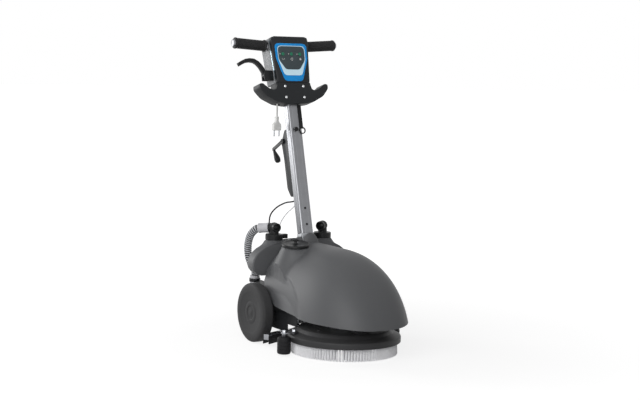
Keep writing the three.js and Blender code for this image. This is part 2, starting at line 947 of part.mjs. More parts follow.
function insetTank(tank, wall) {
  const inward = Math.sign(tank.centreY - tank.squareY);
  return {
    ...tank, halfWidth: tank.halfWidth - wall, reach: tank.reach - wall,
    squareY: tank.squareY + inward * wall,
  };
}

const frontPlan = {
  halfWidth: bodyHalfWidth, reach: bodyArcReach, centreY: bodyArcCentreY, squareY: bodyRearY,
  corner: bodyCornerRadius, power: bodyPlanPower,
};

function frontShare(z) {
  return domeShare(z - bodyVirtualBase, bodyRise, bodyDomePower);
}

// The rim dips at the nose and climbs towards the rear corner.
function rimLift(x, y) {
  const nose = Math.max(0, (bodyArcCentreY - y) / bodyArcReach);
  const rear = Math.max(0, (y - chassisFrontY) / (bodyRearY - chassisFrontY));
  return -bodyNoseDrop * Math.pow(nose, 6) + bodyRearLift * Math.pow(rear, 1.4);
}

// Heights spread evenly round the dome's curve, from a first level to the crown.
function domeLevels(first, base, rise, power, count) {
  const levels = [];
  const start = Math.asin(Math.pow((first - base) / rise, power / 2));
  for (let i = 0; i <= count; i += 1) {
    const angle = start + ((Math.PI / 2 - start) * i) / count;
    const height = rise * Math.pow(Math.sin(angle), 2 / power);
    levels.push({ z: base + height, share: i === count ? 0 : domeShare(height, rise, power) });
  }
  return levels;
}

// The lower flank behind the styling crease is set in a little.
function creaseZ(y) {
  const run = Math.min(1, Math.max(0, (y - creaseFrontY) / creaseSpread));
  return bodyRimZ + (creaseTopZ - bodyRimZ) * Math.pow(1 - Math.pow(1 - run, creasePower), 1 / creasePower);
}

function creaseTool(side) {
  const points = [new THREE.Vector2(creaseFrontY, bodyRimZ - bodyNoseDrop)];
  const steps = smallSides;
  for (let i = 0; i <= steps; i += 1) {
    const y = creaseFrontY + creaseSpread * (i / steps);
    points.push(new THREE.Vector2(y, creaseZ(y)));
  }
  points.push(new THREE.Vector2(bodyRearY + cutOverrun, creaseTopZ));
  points.push(new THREE.Vector2(bodyRearY + cutOverrun, bodyRimZ - bodyNoseDrop));
  const flank = plateFacingX(new THREE.Shape(points), 0, bodyHalfWidth + cutOverrun);
  const tool = cut(flank, stack(insetTank(frontPlan, creaseDepth), [
    { z: bodyRimZ - bodyNoseDrop - cutOverrun, share: frontShare(bodyRimZ) },
    { z: bodyFirstLevelZ, share: frontShare(bodyFirstLevelZ) },
    ...domeLevels(bodyFirstLevelZ + bodyNoseDrop, bodyVirtualBase, bodyRise, bodyDomePower, smallSides / 2),
  ], smallSides * 2));
  if (side < 0) {
    const turn = tool.clone();
    turn.scale(-1, 1, 1);
    turn.setIndex([...turn.getIndex().array].reverse());
    return turn;
  }
  return tool;
}

// Space round a wheel, made larger all round by an allowance.
function wheelArch(side, allowance) {
  const inner = wheelInnerFace - archGap - allowance;
  return rod(wheelRadius + archGap + allowance, point(side * inner, axleY, wheelRadius),
    point(side * (bodyHalfWidth + cutOverrun + allowance), axleY, wheelRadius), midSides * 2);
}

// Both tanks leave a well between them, in which the column's bracket stands.
const notchFrontY = pivotY - cheekRadius - seatGap;

const lidAxis = point(Math.cos(lidTiltBearing * degree), -Math.sin(lidTiltBearing * degree), 0);

// Sets a piece that is drawn about the filler neck's axis, with zero at the rim, on the leaning neck.
function onNeck(geometry) {
  geometry.applyMatrix4(new THREE.Matrix4().makeRotationAxis(lidAxis, lidTilt * degree));
  geometry.translate(lidX, lidY, lidNeckTop);
  return geometry;
}

function saddle() {
  const plan = {
    halfWidth: saddleHalfWidth, reach: saddleReach, centreY: saddleCentreY, squareY: notchFrontY,
    corner: saddleCorner, power: saddlePower,
  };
  return stack(plan, domeLevels(saddleFirstLevelZ, saddleBase, saddleRise, saddlePower, 5), smallSides);
}

function frontTank() {
  const outer = stack(frontPlan, [
    { z: bodyRimZ, share: frontShare(bodyRimZ) },
    ...domeLevels(bodyFirstLevelZ, bodyVirtualBase, bodyRise, bodyDomePower, 8),
  ], 22, (x, y, level) => (level === 0 ? rimLift(x, y) : 0));
  const neck = onNeck(turned([
    [0, -lidNeckDrop], [lidNeckRadius + lidNeckFlare, -lidNeckDrop],
    [lidNeckRadius + lidNeckFlare * 0.52, -lidNeckDrop * 0.62],
    [lidNeckRadius + lidNeckFlare * 0.2, -lidNeckDrop * 0.34],
    [lidNeckRadius, -lidNeckStraight], [lidNeckRadius, 0], [0, 0],
  ], midSides));
  const notch = block(-notchHalfWidth, notchFrontY, tankFloorZ - cutOverrun,
    notchHalfWidth, bodyRearY + cutOverrun, capTop);
  const notchWalls = block(-notchHalfWidth - bodyWall, notchFrontY - bodyWall, tankFloorZ - cutOverrun,
    notchHalfWidth + bodyWall, bodyRearY + cutOverrun, capTop);
  const inner = insetTank(frontPlan, bodyWall);
  // The skirt below the tank floor is open at the back and keeps a wall round each wheel arch.
  const recess = cut(stack({ ...inner, squareY: bodyRearY + cutOverrun }, [
    { z: bodyRimZ - bodyNoseDrop - cutOverrun, share: frontShare(bodyRimZ) },
    { z: tankFloorZ, share: frontShare(tankFloorZ) },
  ], 16), wheelArch(-1, bodyWall), wheelArch(1, bodyWall));
  const cavity = cut(stack(inner, domeLevels(tankFloorZ + bodyWall, bodyVirtualBase,
    bodyRise - bodyWall, bodyDomePower, 4), 12), notchWalls);
  const bore = onNeck(rod(lidBore, point(0, 0, -lidNeckDrop - cutOverrun), point(0, 0, cutOverrun), midSides));
  return cut(join(outer, neck, saddle()), recess, cavity, bore, notch, wheelArch(-1, 0), wheelArch(1, 0));
}

const rearPlan = {
  halfWidth: rearHalfWidth, reach: rearArcReach, centreY: rearArcCentreY, squareY: rearFrontY,
  corner: bodyCornerRadius, power: rearPlanPower,
};

function rearLevels(bottom, rise, under) {
  const lower = [0, 1, 2].map((i) => {
    const z = bottom + ((rearBellyZ - bottom) * i) / 3;
    return { z, share: domeShare(rearBellyZ - z, under, rearPlanPower) };
  });
  return [...lower, ...domeLevels(rearBellyZ, rearBellyZ, rise, rearDomePower, 6)];
}

function rearTank() {
  const outer = stack(rearPlan, rearLevels(rearBottomZ, rearRise, rearUnderDepth), 18);
  const necks = [-capX, capX].map((x) => rod(neckRadius, point(x, capY, neckTop - neckDepth),
    point(x, capY, neckTop), midSides));
  const notch = block(-notchHalfWidth, rearFrontY - cutOverrun, rearBottomZ - cutOverrun,
    notchHalfWidth, rearNotchBackY, neckTop + cutOverrun);
  const cavity = cut(
    stack(insetTank(rearPlan, rearWall),
      rearLevels(rearBottomZ + rearWall, rearRise - rearWall, rearUnderDepth - rearWall), 10),
    block(-notchHalfWidth - rearWall, rearFrontY - cutOverrun, rearBottomZ - cutOverrun,
      notchHalfWidth + rearWall, rearNotchBackY + rearWall, neckTop + cutOverrun));
  const bores = [-capX, capX].map((x) => shaftHole(floatCageRadius, point(x, capY, neckTop - neckDepth - cutOverrun),
    point(x, capY, neckTop + cutOverrun), midSides));
  const grommets = [grommet(loomEndX, loomEndY), grommet(liftCableEndX, liftCableEndY)];
  return cut(join(cut(outer, notch), ...necks, ...grommets), cavity, ...bores);
}

// Height of the rear tank's skin over a point of its plan.
function rearSkinZ(x, y) {
  const across = Math.abs(x) / rearHalfWidth;
  const back = Math.max(0, y - rearArcCentreY) / rearArcReach;
  const share = Math.pow(Math.pow(across, rearPlanPower) + Math.pow(back, rearPlanPower), 1 / rearPlanPower);
  return rearBellyZ + rearRise * Math.pow(1 - Math.pow(share, rearDomePower), 1 / rearDomePower);
}

// A boss through which a cable enters the rear tank.
function grommet(x, y) {
  const geometry = turned([
    [0, -grommetHeight], [grommetRadius, -grommetHeight], [grommetRadius, grommetHeight / 2],
    [grommetRadius * 0.7, grommetHeight], [0, grommetHeight],
  ], smallSides);
  geometry.translate(x, y, rearSkinZ(x, y));
  return geometry;
}

add('front_tank', cut(frontTank(), creaseTool(1), creaseTool(-1)), finish.body);
add('rear_tank', rearTank(), finish.body);

function tankLid() {
  const bottom = seatGap;
  const top = bottom + lidThickness;
  const spigot = (lidBore - runningGap) * Math.cos(Math.PI / midSides);
  const disc = turned([
    [0, bottom - lidSpigotDepth], [spigot, bottom - lidSpigotDepth], [spigot, bottom],
    [lidNeckRadius + runningGap * 2, bottom], [lidNeckRadius + runningGap * 2, bottom - lidLip],
    [lidRadius, bottom - lidLip], [lidRadius, top - lidThickness / 2],
    [lidRadius - lidThickness / 2, top], [0, top],
  ], fineSides - smallSides);
  const knobBottom = top + knobStemHeight;
  const stem = rod(knobStemRadius, point(0, 0, top - lidThickness / 2), point(0, 0, knobBottom + knobHeight / 2));
  const bar = block(-knobLength / 2, -knobWidth / 2, knobBottom, knobLength / 2, knobWidth / 2,
    knobBottom + knobHeight);
  return onNeck(join(disc, stem, bar));
}

add('tank_lid', tankLid(), finish.black);

// Screw collars, elbows, float valve

function collar(side) {
  const bottom = capBottom;
  const plateBottom = neckTop + elbowFlangeThickness + 2 * seatGap;
  const neckBoreRadius = boreRadius(neckRadius, midSides);
  const stemBoreRadius = boreRadius(elbowStemRadius, midSides);
  const ring = turnedRing([
    [neckBoreRadius, bottom], [capRadius, bottom], [capRadius, capTop],
    [stemBoreRadius, capTop], [stemBoreRadius, plateBottom], [neckBoreRadius, plateBottom],
  ], midSides);
  const lug = block(capRadius - collarGripDepth * 2, -collarLugWidth / 2, bottom + collarLugLift,
    collarLugReach, collarLugWidth / 2, capTop - collarGripDepth);
  const whole = join(ring, lug);
  if (side > 0) whole.rotateZ(Math.PI);
  whole.translate(side * capX, capY, 0);
  return whole;
}

const hoseDirection = point(-41.5, 55, -8).normalize();
const mouthDirection = point(-0.8, -0.6, 0).normalize();

function elbow(side, direction, reach) {
  const flangeBottom = neckTop + seatGap;
  const centre = point(0, 0, elbowCentreZ);
  const plugDirection = point(0, -1, 0);
  const shell = [
    turned([
      [0, flangeBottom], [elbowFlangeRadius, flangeBottom],
      [elbowFlangeRadius, flangeBottom + elbowFlangeThickness],
      [elbowStemRadius, flangeBottom + elbowFlangeThickness], [elbowStemRadius, elbowCentreZ],
      [0, elbowCentreZ],
    ], midSides),
    new THREE.SphereGeometry(elbowRadius, smallSides + 2, smallSides - 2).rotateX(Math.PI / 2).translate(0, 0, elbowCentreZ),
    rod(elbowSpigotRadius, centre, centre.clone().addScaledVector(direction, reach), midSides),
  ];
  if (side < 0) {
    shell.push(rod(elbowPlugRadius, centre, centre.clone().addScaledVector(plugDirection, elbowPlugReach), midSides));
  } else {
    const lipStart = centre.clone().addScaledVector(direction, reach - elbowFlangeThickness);
    shell.push(rod(elbowPlugRadius, lipStart, centre.clone().addScaledVector(direction, reach), midSides));
  }
  const bores = [
    rod(elbowBore, point(0, 0, flangeBottom - cutOverrun), centre, smallSides),
    rod(elbowBore, centre, centre.clone().addScaledVector(direction, reach + cutOverrun), smallSides),
  ];
  const whole = cut(join(...shell), ...bores);
  whole.translate(side * capX, capY, 0);
  return whole;
}

add('left_cap', collar(-1), finish.black);
add('right_cap', collar(1), finish.black);
add('left_elbow', elbow(-1, hoseDirection, elbowSpigotReach), finish.black);
add('right_elbow', elbow(1, mouthDirection, elbowMouthReach), finish.black);

function floatCage() {
  const inner = floatCageRadius - floatCageWall;
  const bottom = neckTop - floatCageDepth;
  const shell = turnedRing([
    [inner, bottom + floatCageWall], [inner / 2, bottom + floatCageWall], [inner / 2, bottom],
    [floatCageRadius, bottom], [floatCageRadius, neckTop], [inner, neckTop],
  ], smallSides);
  const windowTop = bottom + floatCageDepth / 2;
  const half = floatWindowWidth / 2;
  const reach = floatCageRadius + cutOverrun;
  const cage = cut(shell,
    block(-reach, -half, bottom + floatCageWall * 2, reach, half, windowTop),
    block(-half, -reach, bottom + floatCageWall * 2, half, reach, windowTop));
  cage.translate(capX, capY, 0);
  return cage;
}

const floatRestZ = neckTop - floatCageDepth + floatCageWall + floatRadius
  - (floatRadius - Math.sqrt(floatRadius ** 2 - ((floatCageRadius - floatCageWall) / 2) ** 2)) + seatGap;

add('float_cage', floatCage(), finish.white);
add('float_ball', new THREE.SphereGeometry(floatRadius, smallSides, cordSides)
  .translate(capX, capY, floatRestZ), finish.white);

// Suction hose

const elbowCentre = point(-capX, capY, elbowCentreZ);
function sleeve(outer, inner, start, direction, length) {
  const geometry = turnedRing([[inner, 0], [outer, 0], [outer, length], [inner, length]], midSides);
  return along(geometry, start, direction);
}

add('upper_cuff', sleeve(cuffRadius, boreRadius(elbowSpigotRadius, midSides),
  elbowCentre.clone().addScaledVector(hoseDirection, cuffStart), hoseDirection, cuffLength), finish.cuff);

// The hose butts against the elbow's spigot inside the upper cuff, and against a shoulder inside the lower one.
const lowerCuffBottom = lowerCuffTop - lowerCuffHeight;
const hoseStart = elbowCentre.clone().addScaledVector(hoseDirection, elbowSpigotReach + seatGap);
const hoseEnd = point(lowerCuffX, lowerCuffY, lowerCuffBottom + lowerCuffSeat + seatGap);
const hoseStraight = hoseRibRadius * 2;

// Route of the ribbed hose, chosen by eye between its two straight ends.
const hosePoints = [
  hoseStart,
  hoseStart.clone().addScaledVector(hoseDirection, hoseStraight / 2),
  hoseStart.clone().addScaledVector(hoseDirection, hoseStraight),
  point(-143, 399, 350),
  point(-140, 426, 314),
  point(-133, 439, 278),
  point(-125, 439, 248),
  hoseEnd.clone().add(point(0, 0, hoseStraight)),
  hoseEnd.clone().add(point(0, 0, hoseStraight / 2)),
  hoseEnd,
];

// A corrugated tube with a bore: ribs stand in a row of eight-sided rings.
function ribbedHose(points) {
  const path = new THREE.CatmullRomCurve3(points, false, 'centripetal');
  const ribs = Math.round(path.getLength() / hoseRibPitch);
  const ringSides = 8;
  const outerRings = 2 * ribs;
  const positions = [];
  const index = [];
  const frames = path.computeFrenetFrames(outerRings, false);
  const ring = (u, frame, radius) => {
    const centre = path.getPointAt(u);
    for (let k = 0; k < ringSides; k += 1) {
      const angle = (k / ringSides) * 2 * Math.PI;
      const p = centre.clone()
        .addScaledVector(frames.normals[frame], radius * Math.cos(angle))
        .addScaledVector(frames.binormals[frame], radius * Math.sin(angle));
      positions.push(p.x, p.y, p.z);
    }
    return positions.length / 3 - ringSides;
  };
  const bridge = (a, b) => {
    for (let k = 0; k < ringSides; k += 1) {
      const next = (k + 1) % ringSides;
      index.push(a + k, a + next, b + next, a + k, b + next, b + k);
    }
  };
  const outer = [];
  for (let i = 0; i <= outerRings; i += 1) {
    const end = i === 0 || i === outerRings;
    outer.push(ring(i / outerRings, i, end || i % 2 === 1 ? hoseRibRadius : hoseRootRadius));
  }
  const bore = [];
  for (let i = outerRings; i >= 0; i -= 10) bore.push(ring(i / outerRings, i, hoseBoreRadius));
  if (outerRings % 10 !== 0) bore.push(ring(0, 0, hoseBoreRadius));
  const loop = [...outer, ...bore];
  loop.forEach((a, i) => bridge(a, loop[(i + 1) % loop.length]));
  const geometry = new THREE.BufferGeometry();
  geometry.setAttribute('position', new THREE.Float32BufferAttribute(positions, 3));
  geometry.setIndex(index);
  return geometry;
}

add('suction_hose', ribbedHose(hosePoints), finish.hose);

function lowerCuff() {
  const wide = boreRadius(hoseRibRadius, midSides);
  const geometry = turnedRing([
    [hoseBoreRadius, 0], [cuffRadius, 0], [cuffRadius, lowerCuffHeight], [wide, lowerCuffHeight],
    [wide, lowerCuffSeat], [hoseBoreRadius, lowerCuffSeat],
  ], midSides);
  geometry.translate(lowerCuffX, lowerCuffY, lowerCuffBottom);
  return geometry;
}

add('lower_cuff', lowerCuff(), finish.cuff);

const pipeStart = point(lowerCuffX, lowerCuffY, lowerCuffBottom - seatGap);
const pipeEnd = point(0, nozzleEndY + seatGap, nozzleZ);
const pipePoints = [
  pipeStart,
  pipeStart.clone().add(point(0, 0, -pipeRadius)),
  point(-109, 427, 128),
  point(-105, 410, 92),
  point(-84, 374, 66),
  point(-46, 330, 59),
  point(-12, 296, 59),
  pipeEnd.clone().add(point(0, pipeRadius * 2, 0)),
  pipeEnd,
];
add('squeegee_pipe', swept(pipePoints, pipeRadius, smallSides, 16), finish.rubber);

// A clip on the chassis holds the lower cuff.
function hoseClip() {
  const bottom = lowerCuffBottom + clipLift;
  const top = bottom + clipHeight;
  const inner = cuffRadius + seatGap;
  const hoop = turnedRing([[inner, bottom], [inner + clipWall, bottom], [inner + clipWall, top], [inner, top]],
    midSides);
  hoop.translate(lowerCuffX, lowerCuffY, 0);
  const x0 = lowerCuffX - clipHeight / 2;
  const x1 = lowerCuffX + clipHeight / 2;
  const rear = chassisRearY - sheetWall;
  const arm = block(x0, rear, bottom, x1, lowerCuffY - inner - clipWall / 2, bottom + sheetWall);
  const leg = block(x0, rear, chassisPlateTop + seatGap, x1, rear + sheetWall, bottom + sheetWall);
  const footRun = clipHeight * 2;
  const foot = block(x0, rear - footRun, chassisPlateTop + seatGap, x1, rear + sheetWall,
    chassisPlateTop + seatGap + sheetWall);
  return join(hoop, arm, leg, foot);
}

add('hose_clip', hoseClip(), finish.sheet);

// Bumper rollers

function bumperRoller(side) {
  const geometry = turnedRing([
    [rollerPinRadius + runningGap, rollerBottom], [rollerRadius - rollerCrown, rollerBottom],
    [rollerRadius, rollerBottom + rollerCrown * 2], [rollerRadius, rollerTop - rollerCrown * 2],
    [rollerRadius - rollerCrown, rollerTop], [rollerPinRadius + runningGap, rollerTop],
  ], midSides);
  geometry.translate(side * rollerX, rollerY, 0);
  return geometry;
}

// Height of the deck's sloping skin at a distance from the brush axis.
function deckSkinZ(radius) {
  const outer = deckRadius - deckRimRounding;
  return deckRimTop + deckRimRounding / 2 + (deckSlopeRise * (outer - radius)) / deckSlopeRun;
}

function rollerBracket(side) {
  const plateBottom = deckSlopeTop + seatGap;
  const boltX = rollerPlateInnerX + rollerNutRadius * 1.5;
  const spacerBottom = deckSkinZ(Math.hypot(boltX, rollerY) - rollerNutRadius) + seatGap;
  const plateTop = plateBottom + rollerPlateThickness;
  const halfWidth = rollerPlateWidth / 2;
  const parts = [
    plateFacingZ(roundedOutline([
      [rollerPlateInnerX, rollerY - halfWidth, 0], [rollerX + halfWidth, rollerY - halfWidth, halfWidth],
      [rollerX + halfWidth, rollerY + halfWidth, halfWidth], [rollerPlateInnerX, rollerY + halfWidth, 0],
    ]), plateBottom, plateTop),
    rod(rollerPinRadius, point(rollerX, rollerY, rollerBottom), point(rollerX, rollerY, plateTop)),
    rod(rollerPinRadius * 2, point(rollerX, rollerY, rollerTop + seatGap), point(rollerX, rollerY, plateTop)),
    rod(rollerNutRadius, point(rollerX, rollerY, plateTop - seatGap),
      point(rollerX, rollerY, plateTop + rollerNutHeight), 6),
    rod(rollerNutRadius, point(boltX, rollerY, spacerBottom),
      point(boltX, rollerY, plateTop + rollerNutHeight), 6),
  ];
  const bracket = join(...parts);
  if (side < 0) {
    bracket.rotateZ(Math.PI);
    bracket.translate(0, rollerY * 2, 0);
  }
  return bracket;
}

add('roller_bracket_left', rollerBracket(-1), finish.chrome);
add('roller_bracket_right', rollerBracket(1), finish.chrome);
add('bumper_roller_left', bumperRoller(-1), finish.rubber);
add('bumper_roller_right', bumperRoller(1), finish.rubber);

// Squeegee: a curved bar between two blades, raised at rest

function curvedStrip(offset, thickness, z0, z1) {
  const steps = midSides;
  const front = [];
  const back = [];
  for (let i = 0; i <= steps; i += 1) {
    const x = -squeegeeHalfWidth + (2 * squeegeeHalfWidth * i) / steps;
    const slope = -2 * squeegeeSweep * x;
    const length = Math.hypot(1, slope);
    const y = squeegeeY - squeegeeSweep * x * x;
    const shift = (d) => new THREE.Vector2(x - (slope / length) * d, y + d / length);
    front.push(shift(offset - thickness / 2));
    back.unshift(shift(offset + thickness / 2));
  }
  return plateFacingZ(new THREE.Shape([...front, ...back]), z0, z1);
}

function squeegeeBody() {
  const bossTop = nozzleZ + nozzleRadius;
  const bossFront = squeegeeY - nozzleBossDepth / 2;
  const bossBack = squeegeeY + nozzleBossDepth / 2;
  const half = nozzleBossWidth / 2;
  const parts = [
    curvedStrip(0, squeegeeBarDepth, squeegeeBarBottom, squeegeeBarTop),
    block(-half, bossFront, bladeTop + runningGap * 4, half, bossBack, bossTop),
    rod(nozzleRadius, point(0, bossFront + nozzleBore, nozzleZ), point(0, nozzleEndY, nozzleZ), midSides),
    ...[-postX, postX].map((x) => rod(postRadius, point(x, postY(x), squeegeeBarTop - seatGap),
      point(x, postY(x), postTop))),
  ];
  const channel = [
    rod(nozzleBore, point(0, squeegeeY, nozzleZ), point(0, nozzleEndY + cutOverrun, nozzleZ), smallSides),
    rod(nozzleBore * 0.7, point(0, squeegeeY, squeegeeBarBottom - cutOverrun), point(0, squeegeeY, nozzleZ)),
  ];
  return cut(join(...parts), ...channel);
}

const bladeOffset = squeegeeBarDepth / 2 + seatGap + bladeThickness / 2;
add('squeegee_body', squeegeeBody(), finish.sheet);
add('front_blade', curvedStrip(-bladeOffset, bladeThickness, bladeBottom, bladeTop), finish.rubber);
add('rear_blade', curvedStrip(bladeOffset, bladeThickness, bladeBottom, bladeTop), finish.rubber);

// Column bracket, pivot pin, foot and column

function columnBracket() {
  const outer = cheekInner + cheekThickness;
  const outline = () => {
    const shape = new THREE.Shape();
    shape.moveTo(pivotY - cheekRadius, chassisPlateTop + seatGap);
    shape.lineTo(pivotY + cheekRadius, chassisPlateTop + seatGap);
    shape.lineTo(pivotY + cheekRadius, pivotZ);
    shape.absarc(pivotY, pivotZ, cheekRadius, 0, Math.PI, false);
    shape.closePath();
    return shape;
  };
  const base = block(-outer, pivotY - cheekRadius, chassisPlateTop + seatGap,
    outer, pivotY + cheekRadius, chassisPlateTop + seatGap + cheekThickness);
  const pinHole = shaftHole(pinRadius, point(-outer - cutOverrun, pivotY, pivotZ),
    point(outer + cutOverrun, pivotY, pivotZ));
  return cut(join(base, plateFacingX(outline(), -outer, -cheekInner), plateFacingX(outline(), cheekInner, outer)),
    pinHole);
}

function pivotPin() {
  const seat = cheekInner + cheekThickness + seatGap;
  const end = seat + pinHeadThickness;
  const geometry = turned([
    [0, -end], [pinHeadRadius, -end], [pinHeadRadius, -seat], [pinRadius, -seat],
    [pinRadius, seat], [pinHeadRadius, seat], [pinHeadRadius, end], [0, end],
  ], smallSides);
  return along(geometry, point(0, pivotY, pivotZ), point(1, 0, 0));
}

add('column_bracket', columnBracket(), finish.body);
add('pivot_pin', pivotPin(), finish.steel);

function columnOutline(width, depth, corner) {
  return roundedOutline([
    [-width / 2, -depth / 2, corner], [width / 2, -depth / 2, corner],
    [width / 2, depth / 2, corner], [-width / 2, depth / 2, corner],
  ], 2);
}

function columnFoot() {
  const halfWidth = columnWidth / 2;
  const halfDepth = columnDepth / 2;
  const lobe = rod(footLobeRadius, point(-halfWidth, 0, 0), point(halfWidth, 0, 0), midSides);
  const shoulder = block(-halfWidth, -halfDepth, 0, halfWidth, halfDepth, columnBottom - seatGap);
  const inset = 2 * (columnWall + footSpigotGap);
  const spigot = plateFacingZ(columnOutline(columnWidth - inset, columnDepth - inset, columnCorner / 2),
    columnBottom - cutOverrun, columnBottom + footSpigotHeight);
  const hole = shaftHole(pinRadius, point(-halfWidth - cutOverrun, 0, 0),
    point(halfWidth + cutOverrun, 0, 0));
  return cut(join(lobe, shoulder, spigot), hole);
}

function columnTube() {
  const outer = plateFacingZ(columnOutline(columnWidth, columnDepth, columnCorner), columnBottom, columnTop);
  const inner = plateFacingZ(columnOutline(columnWidth - 2 * columnWall, columnDepth - 2 * columnWall,
    columnCorner - columnWall), columnBottom - cutOverrun, columnTop + cutOverrun);
  const face = -columnDepth / 2;
  const screwHoles = [columnScrewLow, columnScrewHigh].map((z) => rod(columnScrewRadius,
    point(0, face - cutOverrun, z), point(0, face + columnWall + columnScrewRadius, z), 6));
  const stud = cut(
    join(
      rod(strapStudRadius, point(strapStudX, face + columnWall / 2, strapStudZ),
        point(strapStudX, face - strapStudHeight, strapStudZ)),
      rod(strapStudRadius * 1.3, point(strapStudX, face - strapStudHeight * 0.6, strapStudZ),
        point(strapStudX, face - strapStudHeight, strapStudZ)),
    ),
    rod(strapStudRadius / 3, point(strapStudX, face - strapStudHeight / 2, strapStudZ),
      point(strapStudX, face - strapStudHeight - cutOverrun, strapStudZ), 6));
  return join(cut(outer, inner, ...screwHoles), stud);
}

add('column_foot', columnFoot(), finish.casting, column);
add('column_tube', columnTube(), finish.aluminium, column);

// Rear housing and crank lever for the squeegee

function leverHousing() {
  const back = columnDepth / 2 + seatGap;
  const deep = back + housingDepth;
  const span = housingTop - housingBottom;
  const outline = roundedOutline([
    [back, housingBottom, 0],
    [back + housingDepth * 0.45, housingBottom, housingDepth * 0.3],
    [deep - housingDepth * 0.16, housingBottom + span * 0.14, housingDepth * 0.5],
    [deep - housingDepth * 0.14, housingBottom + span * 0.6, housingDepth * 0.5],
    [deep, housingBottom + span * 0.84, housingDepth * 0.35],
    [back + housingDepth * 0.35, housingTop, housingDepth * 0.25],
    [back, housingTop, 0],
  ], 4);
  const body = plateFacingX(outline, -housingHalfWidth, housingHalfWidth);
  const pin = rod(leverPinRadius, point(-housingHalfWidth + cutOverrun, leverPivotY, leverPivotZ),
    point(-housingHalfWidth - leverArmThickness - seatGap * 2, leverPivotY, leverPivotZ));
  return join(body, pin);
}

// The lever's arm runs back from the pivot and its pear grip hangs from the end.
const leverInnerX = -housingHalfWidth - seatGap;
const leverArmEndY = leverPivotY + leverArmLength;
const leverArmEndZ = leverPivotZ - leverArmWidth * 1.4;

function liftLever() {
  const x1 = leverInnerX;
  const x0 = x1 - leverArmThickness;
  const half = leverArmWidth / 2;
  const hub = rod(leverHubRadius, point(x0, leverPivotY, leverPivotZ), point(x1, leverPivotY, leverPivotZ), midSides);
  const arm = plateFacingX(roundedOutline([
    [leverPivotY, leverPivotZ - half, 0], [leverArmEndY + half, leverArmEndZ - half, half],
    [leverArmEndY + half, leverArmEndZ + half, half], [leverPivotY, leverPivotZ + half, 0],
  ]), x0, x1);
  const hole = shaftHole(leverPinRadius, point(x0 - cutOverrun, leverPivotY, leverPivotZ),
    point(x1 + cutOverrun, leverPivotY, leverPivotZ));
  return cut(join(hub, arm, liftGrip()), hole);
}

function liftGrip() {
  const top = leverArmEndZ;
  const gripStart = point(leverInnerX - leverArmThickness / 2, leverArmEndY, top);
  const end = point(gripStart.x, leverArmEndY - leverGripLength * 0.45, top - leverGripLength * 0.9);
  const pear = turned([
    [0, 0], [leverGripRadius * 0.35, 0], [leverGripRadius * 0.5, leverGripLength * 0.2],
    [leverGripRadius * 0.85, leverGripLength * 0.55], [leverGripRadius, leverGripLength * 0.78],
    [leverGripRadius * 0.8, leverGripLength * 0.95], [0, leverGripLength],
  ], smallSides);
  return along(pear, gripStart.clone().setZ(top), end.sub(gripStart));
}

add('lever_housing', leverHousing(), finish.charcoal, column);
add('lift_lever', liftLever(), finish.black, column);

// Console shells, panel, buttons and board

function consoleHalfWidthAt(z) {
  const share = (z - consoleBottom) / (consoleTop - consoleBottom);
  return consoleBottomHalfWidth + (consoleTopHalfWidth - consoleBottomHalfWidth) * share;
}

function consoleOutline(inset) {
  const top = consoleTopHalfWidth - inset;
  const bottom = consoleBottomHalfWidth - inset;
  const corner = Math.max(consoleCorner - inset, consoleEdge);
  return roundedOutline([
    [-bottom, consoleBottom + inset, consoleEdge], [bottom, consoleBottom + inset, consoleEdge],
    [top, consoleTop - inset, corner], [-top, consoleTop - inset, corner],
  ], 2);
}

function consoleFront() {
  const full = plateFacingY(consoleOutline(0), consoleFrontY + consoleEdge, consoleSplitY);
  const face = new THREE.ExtrudeGeometry(consoleOutline(consoleEdge), {
    depth: consoleEdge, bevelEnabled: true, bevelThickness: consoleEdge / 2, bevelSize: consoleEdge * 0.9,
    bevelSegments: 1, curveSegments: smallSides,
  });
  face.rotateX(Math.PI / 2);
  face.translate(0, consoleFrontY + consoleEdge * 1.5, 0);
  const hollow = plateFacingY(consoleOutline(consoleWall * 1.5), consoleFrontY + consoleWall,
    consoleSplitY + cutOverrun);
  const shell = cut(join(full, face), hollow);
  const posts = [-1, 1].flatMap((side) => [boardBottom + boardPostRadius * 2, boardTop - boardPostRadius * 2]
    .map((z) => rod(boardPostRadius,
      point(side * (boardHalfWidth - boardPostRadius * 2), consoleFrontY + consoleWall / 2, z),
      point(side * (boardHalfWidth - boardPostRadius * 2), boardY - seatGap, z), cordSides)));
  return join(shell, ...posts);
}

// Direction of the straight handlebar arm that a grip sits on.
function gripDirection(side) {
  return point(side * barHalfSpan, 0, barRise).normalize();
}

// A point of the arm's centre line, by its distance from the middle.
function gripPoint(side, x) {
  return point(side * x, 0, barZ + (barRise * x) / barHalfSpan);
}

// One arm of the V; it starts just past the middle so that the two arms run together there.
function barArm(side, radius) {
  return rod(radius, gripPoint(side, -radius), gripPoint(side, barHalfSpan), smallSides);
}

function consoleBack() {
  const back = plateFacingY(consoleOutline(0), consoleSplitY + seatGap, consoleBackY - consoleEdge);
  const dome = plateFacingY(consoleOutline(consoleEdge), consoleBackY - consoleEdge * 1.5, consoleBackY);
  const hollow = plateFacingY(consoleOutline(consoleWall), consoleSplitY - cutOverrun,
    consoleBackY - consoleEdge - consoleWall);
  const columnPocket = plateFacingZ(columnOutline(columnWidth + 2 * seatGap, columnDepth + 2 * seatGap,
    columnCorner), consoleBottom - cutOverrun, consoleBottom + consoleWall * 2);
  return cut(join(back, dome), hollow, columnPocket, barArm(-1, boreRadius(barRadius, smallSides)),
    barArm(1, boreRadius(barRadius, smallSides)));
}

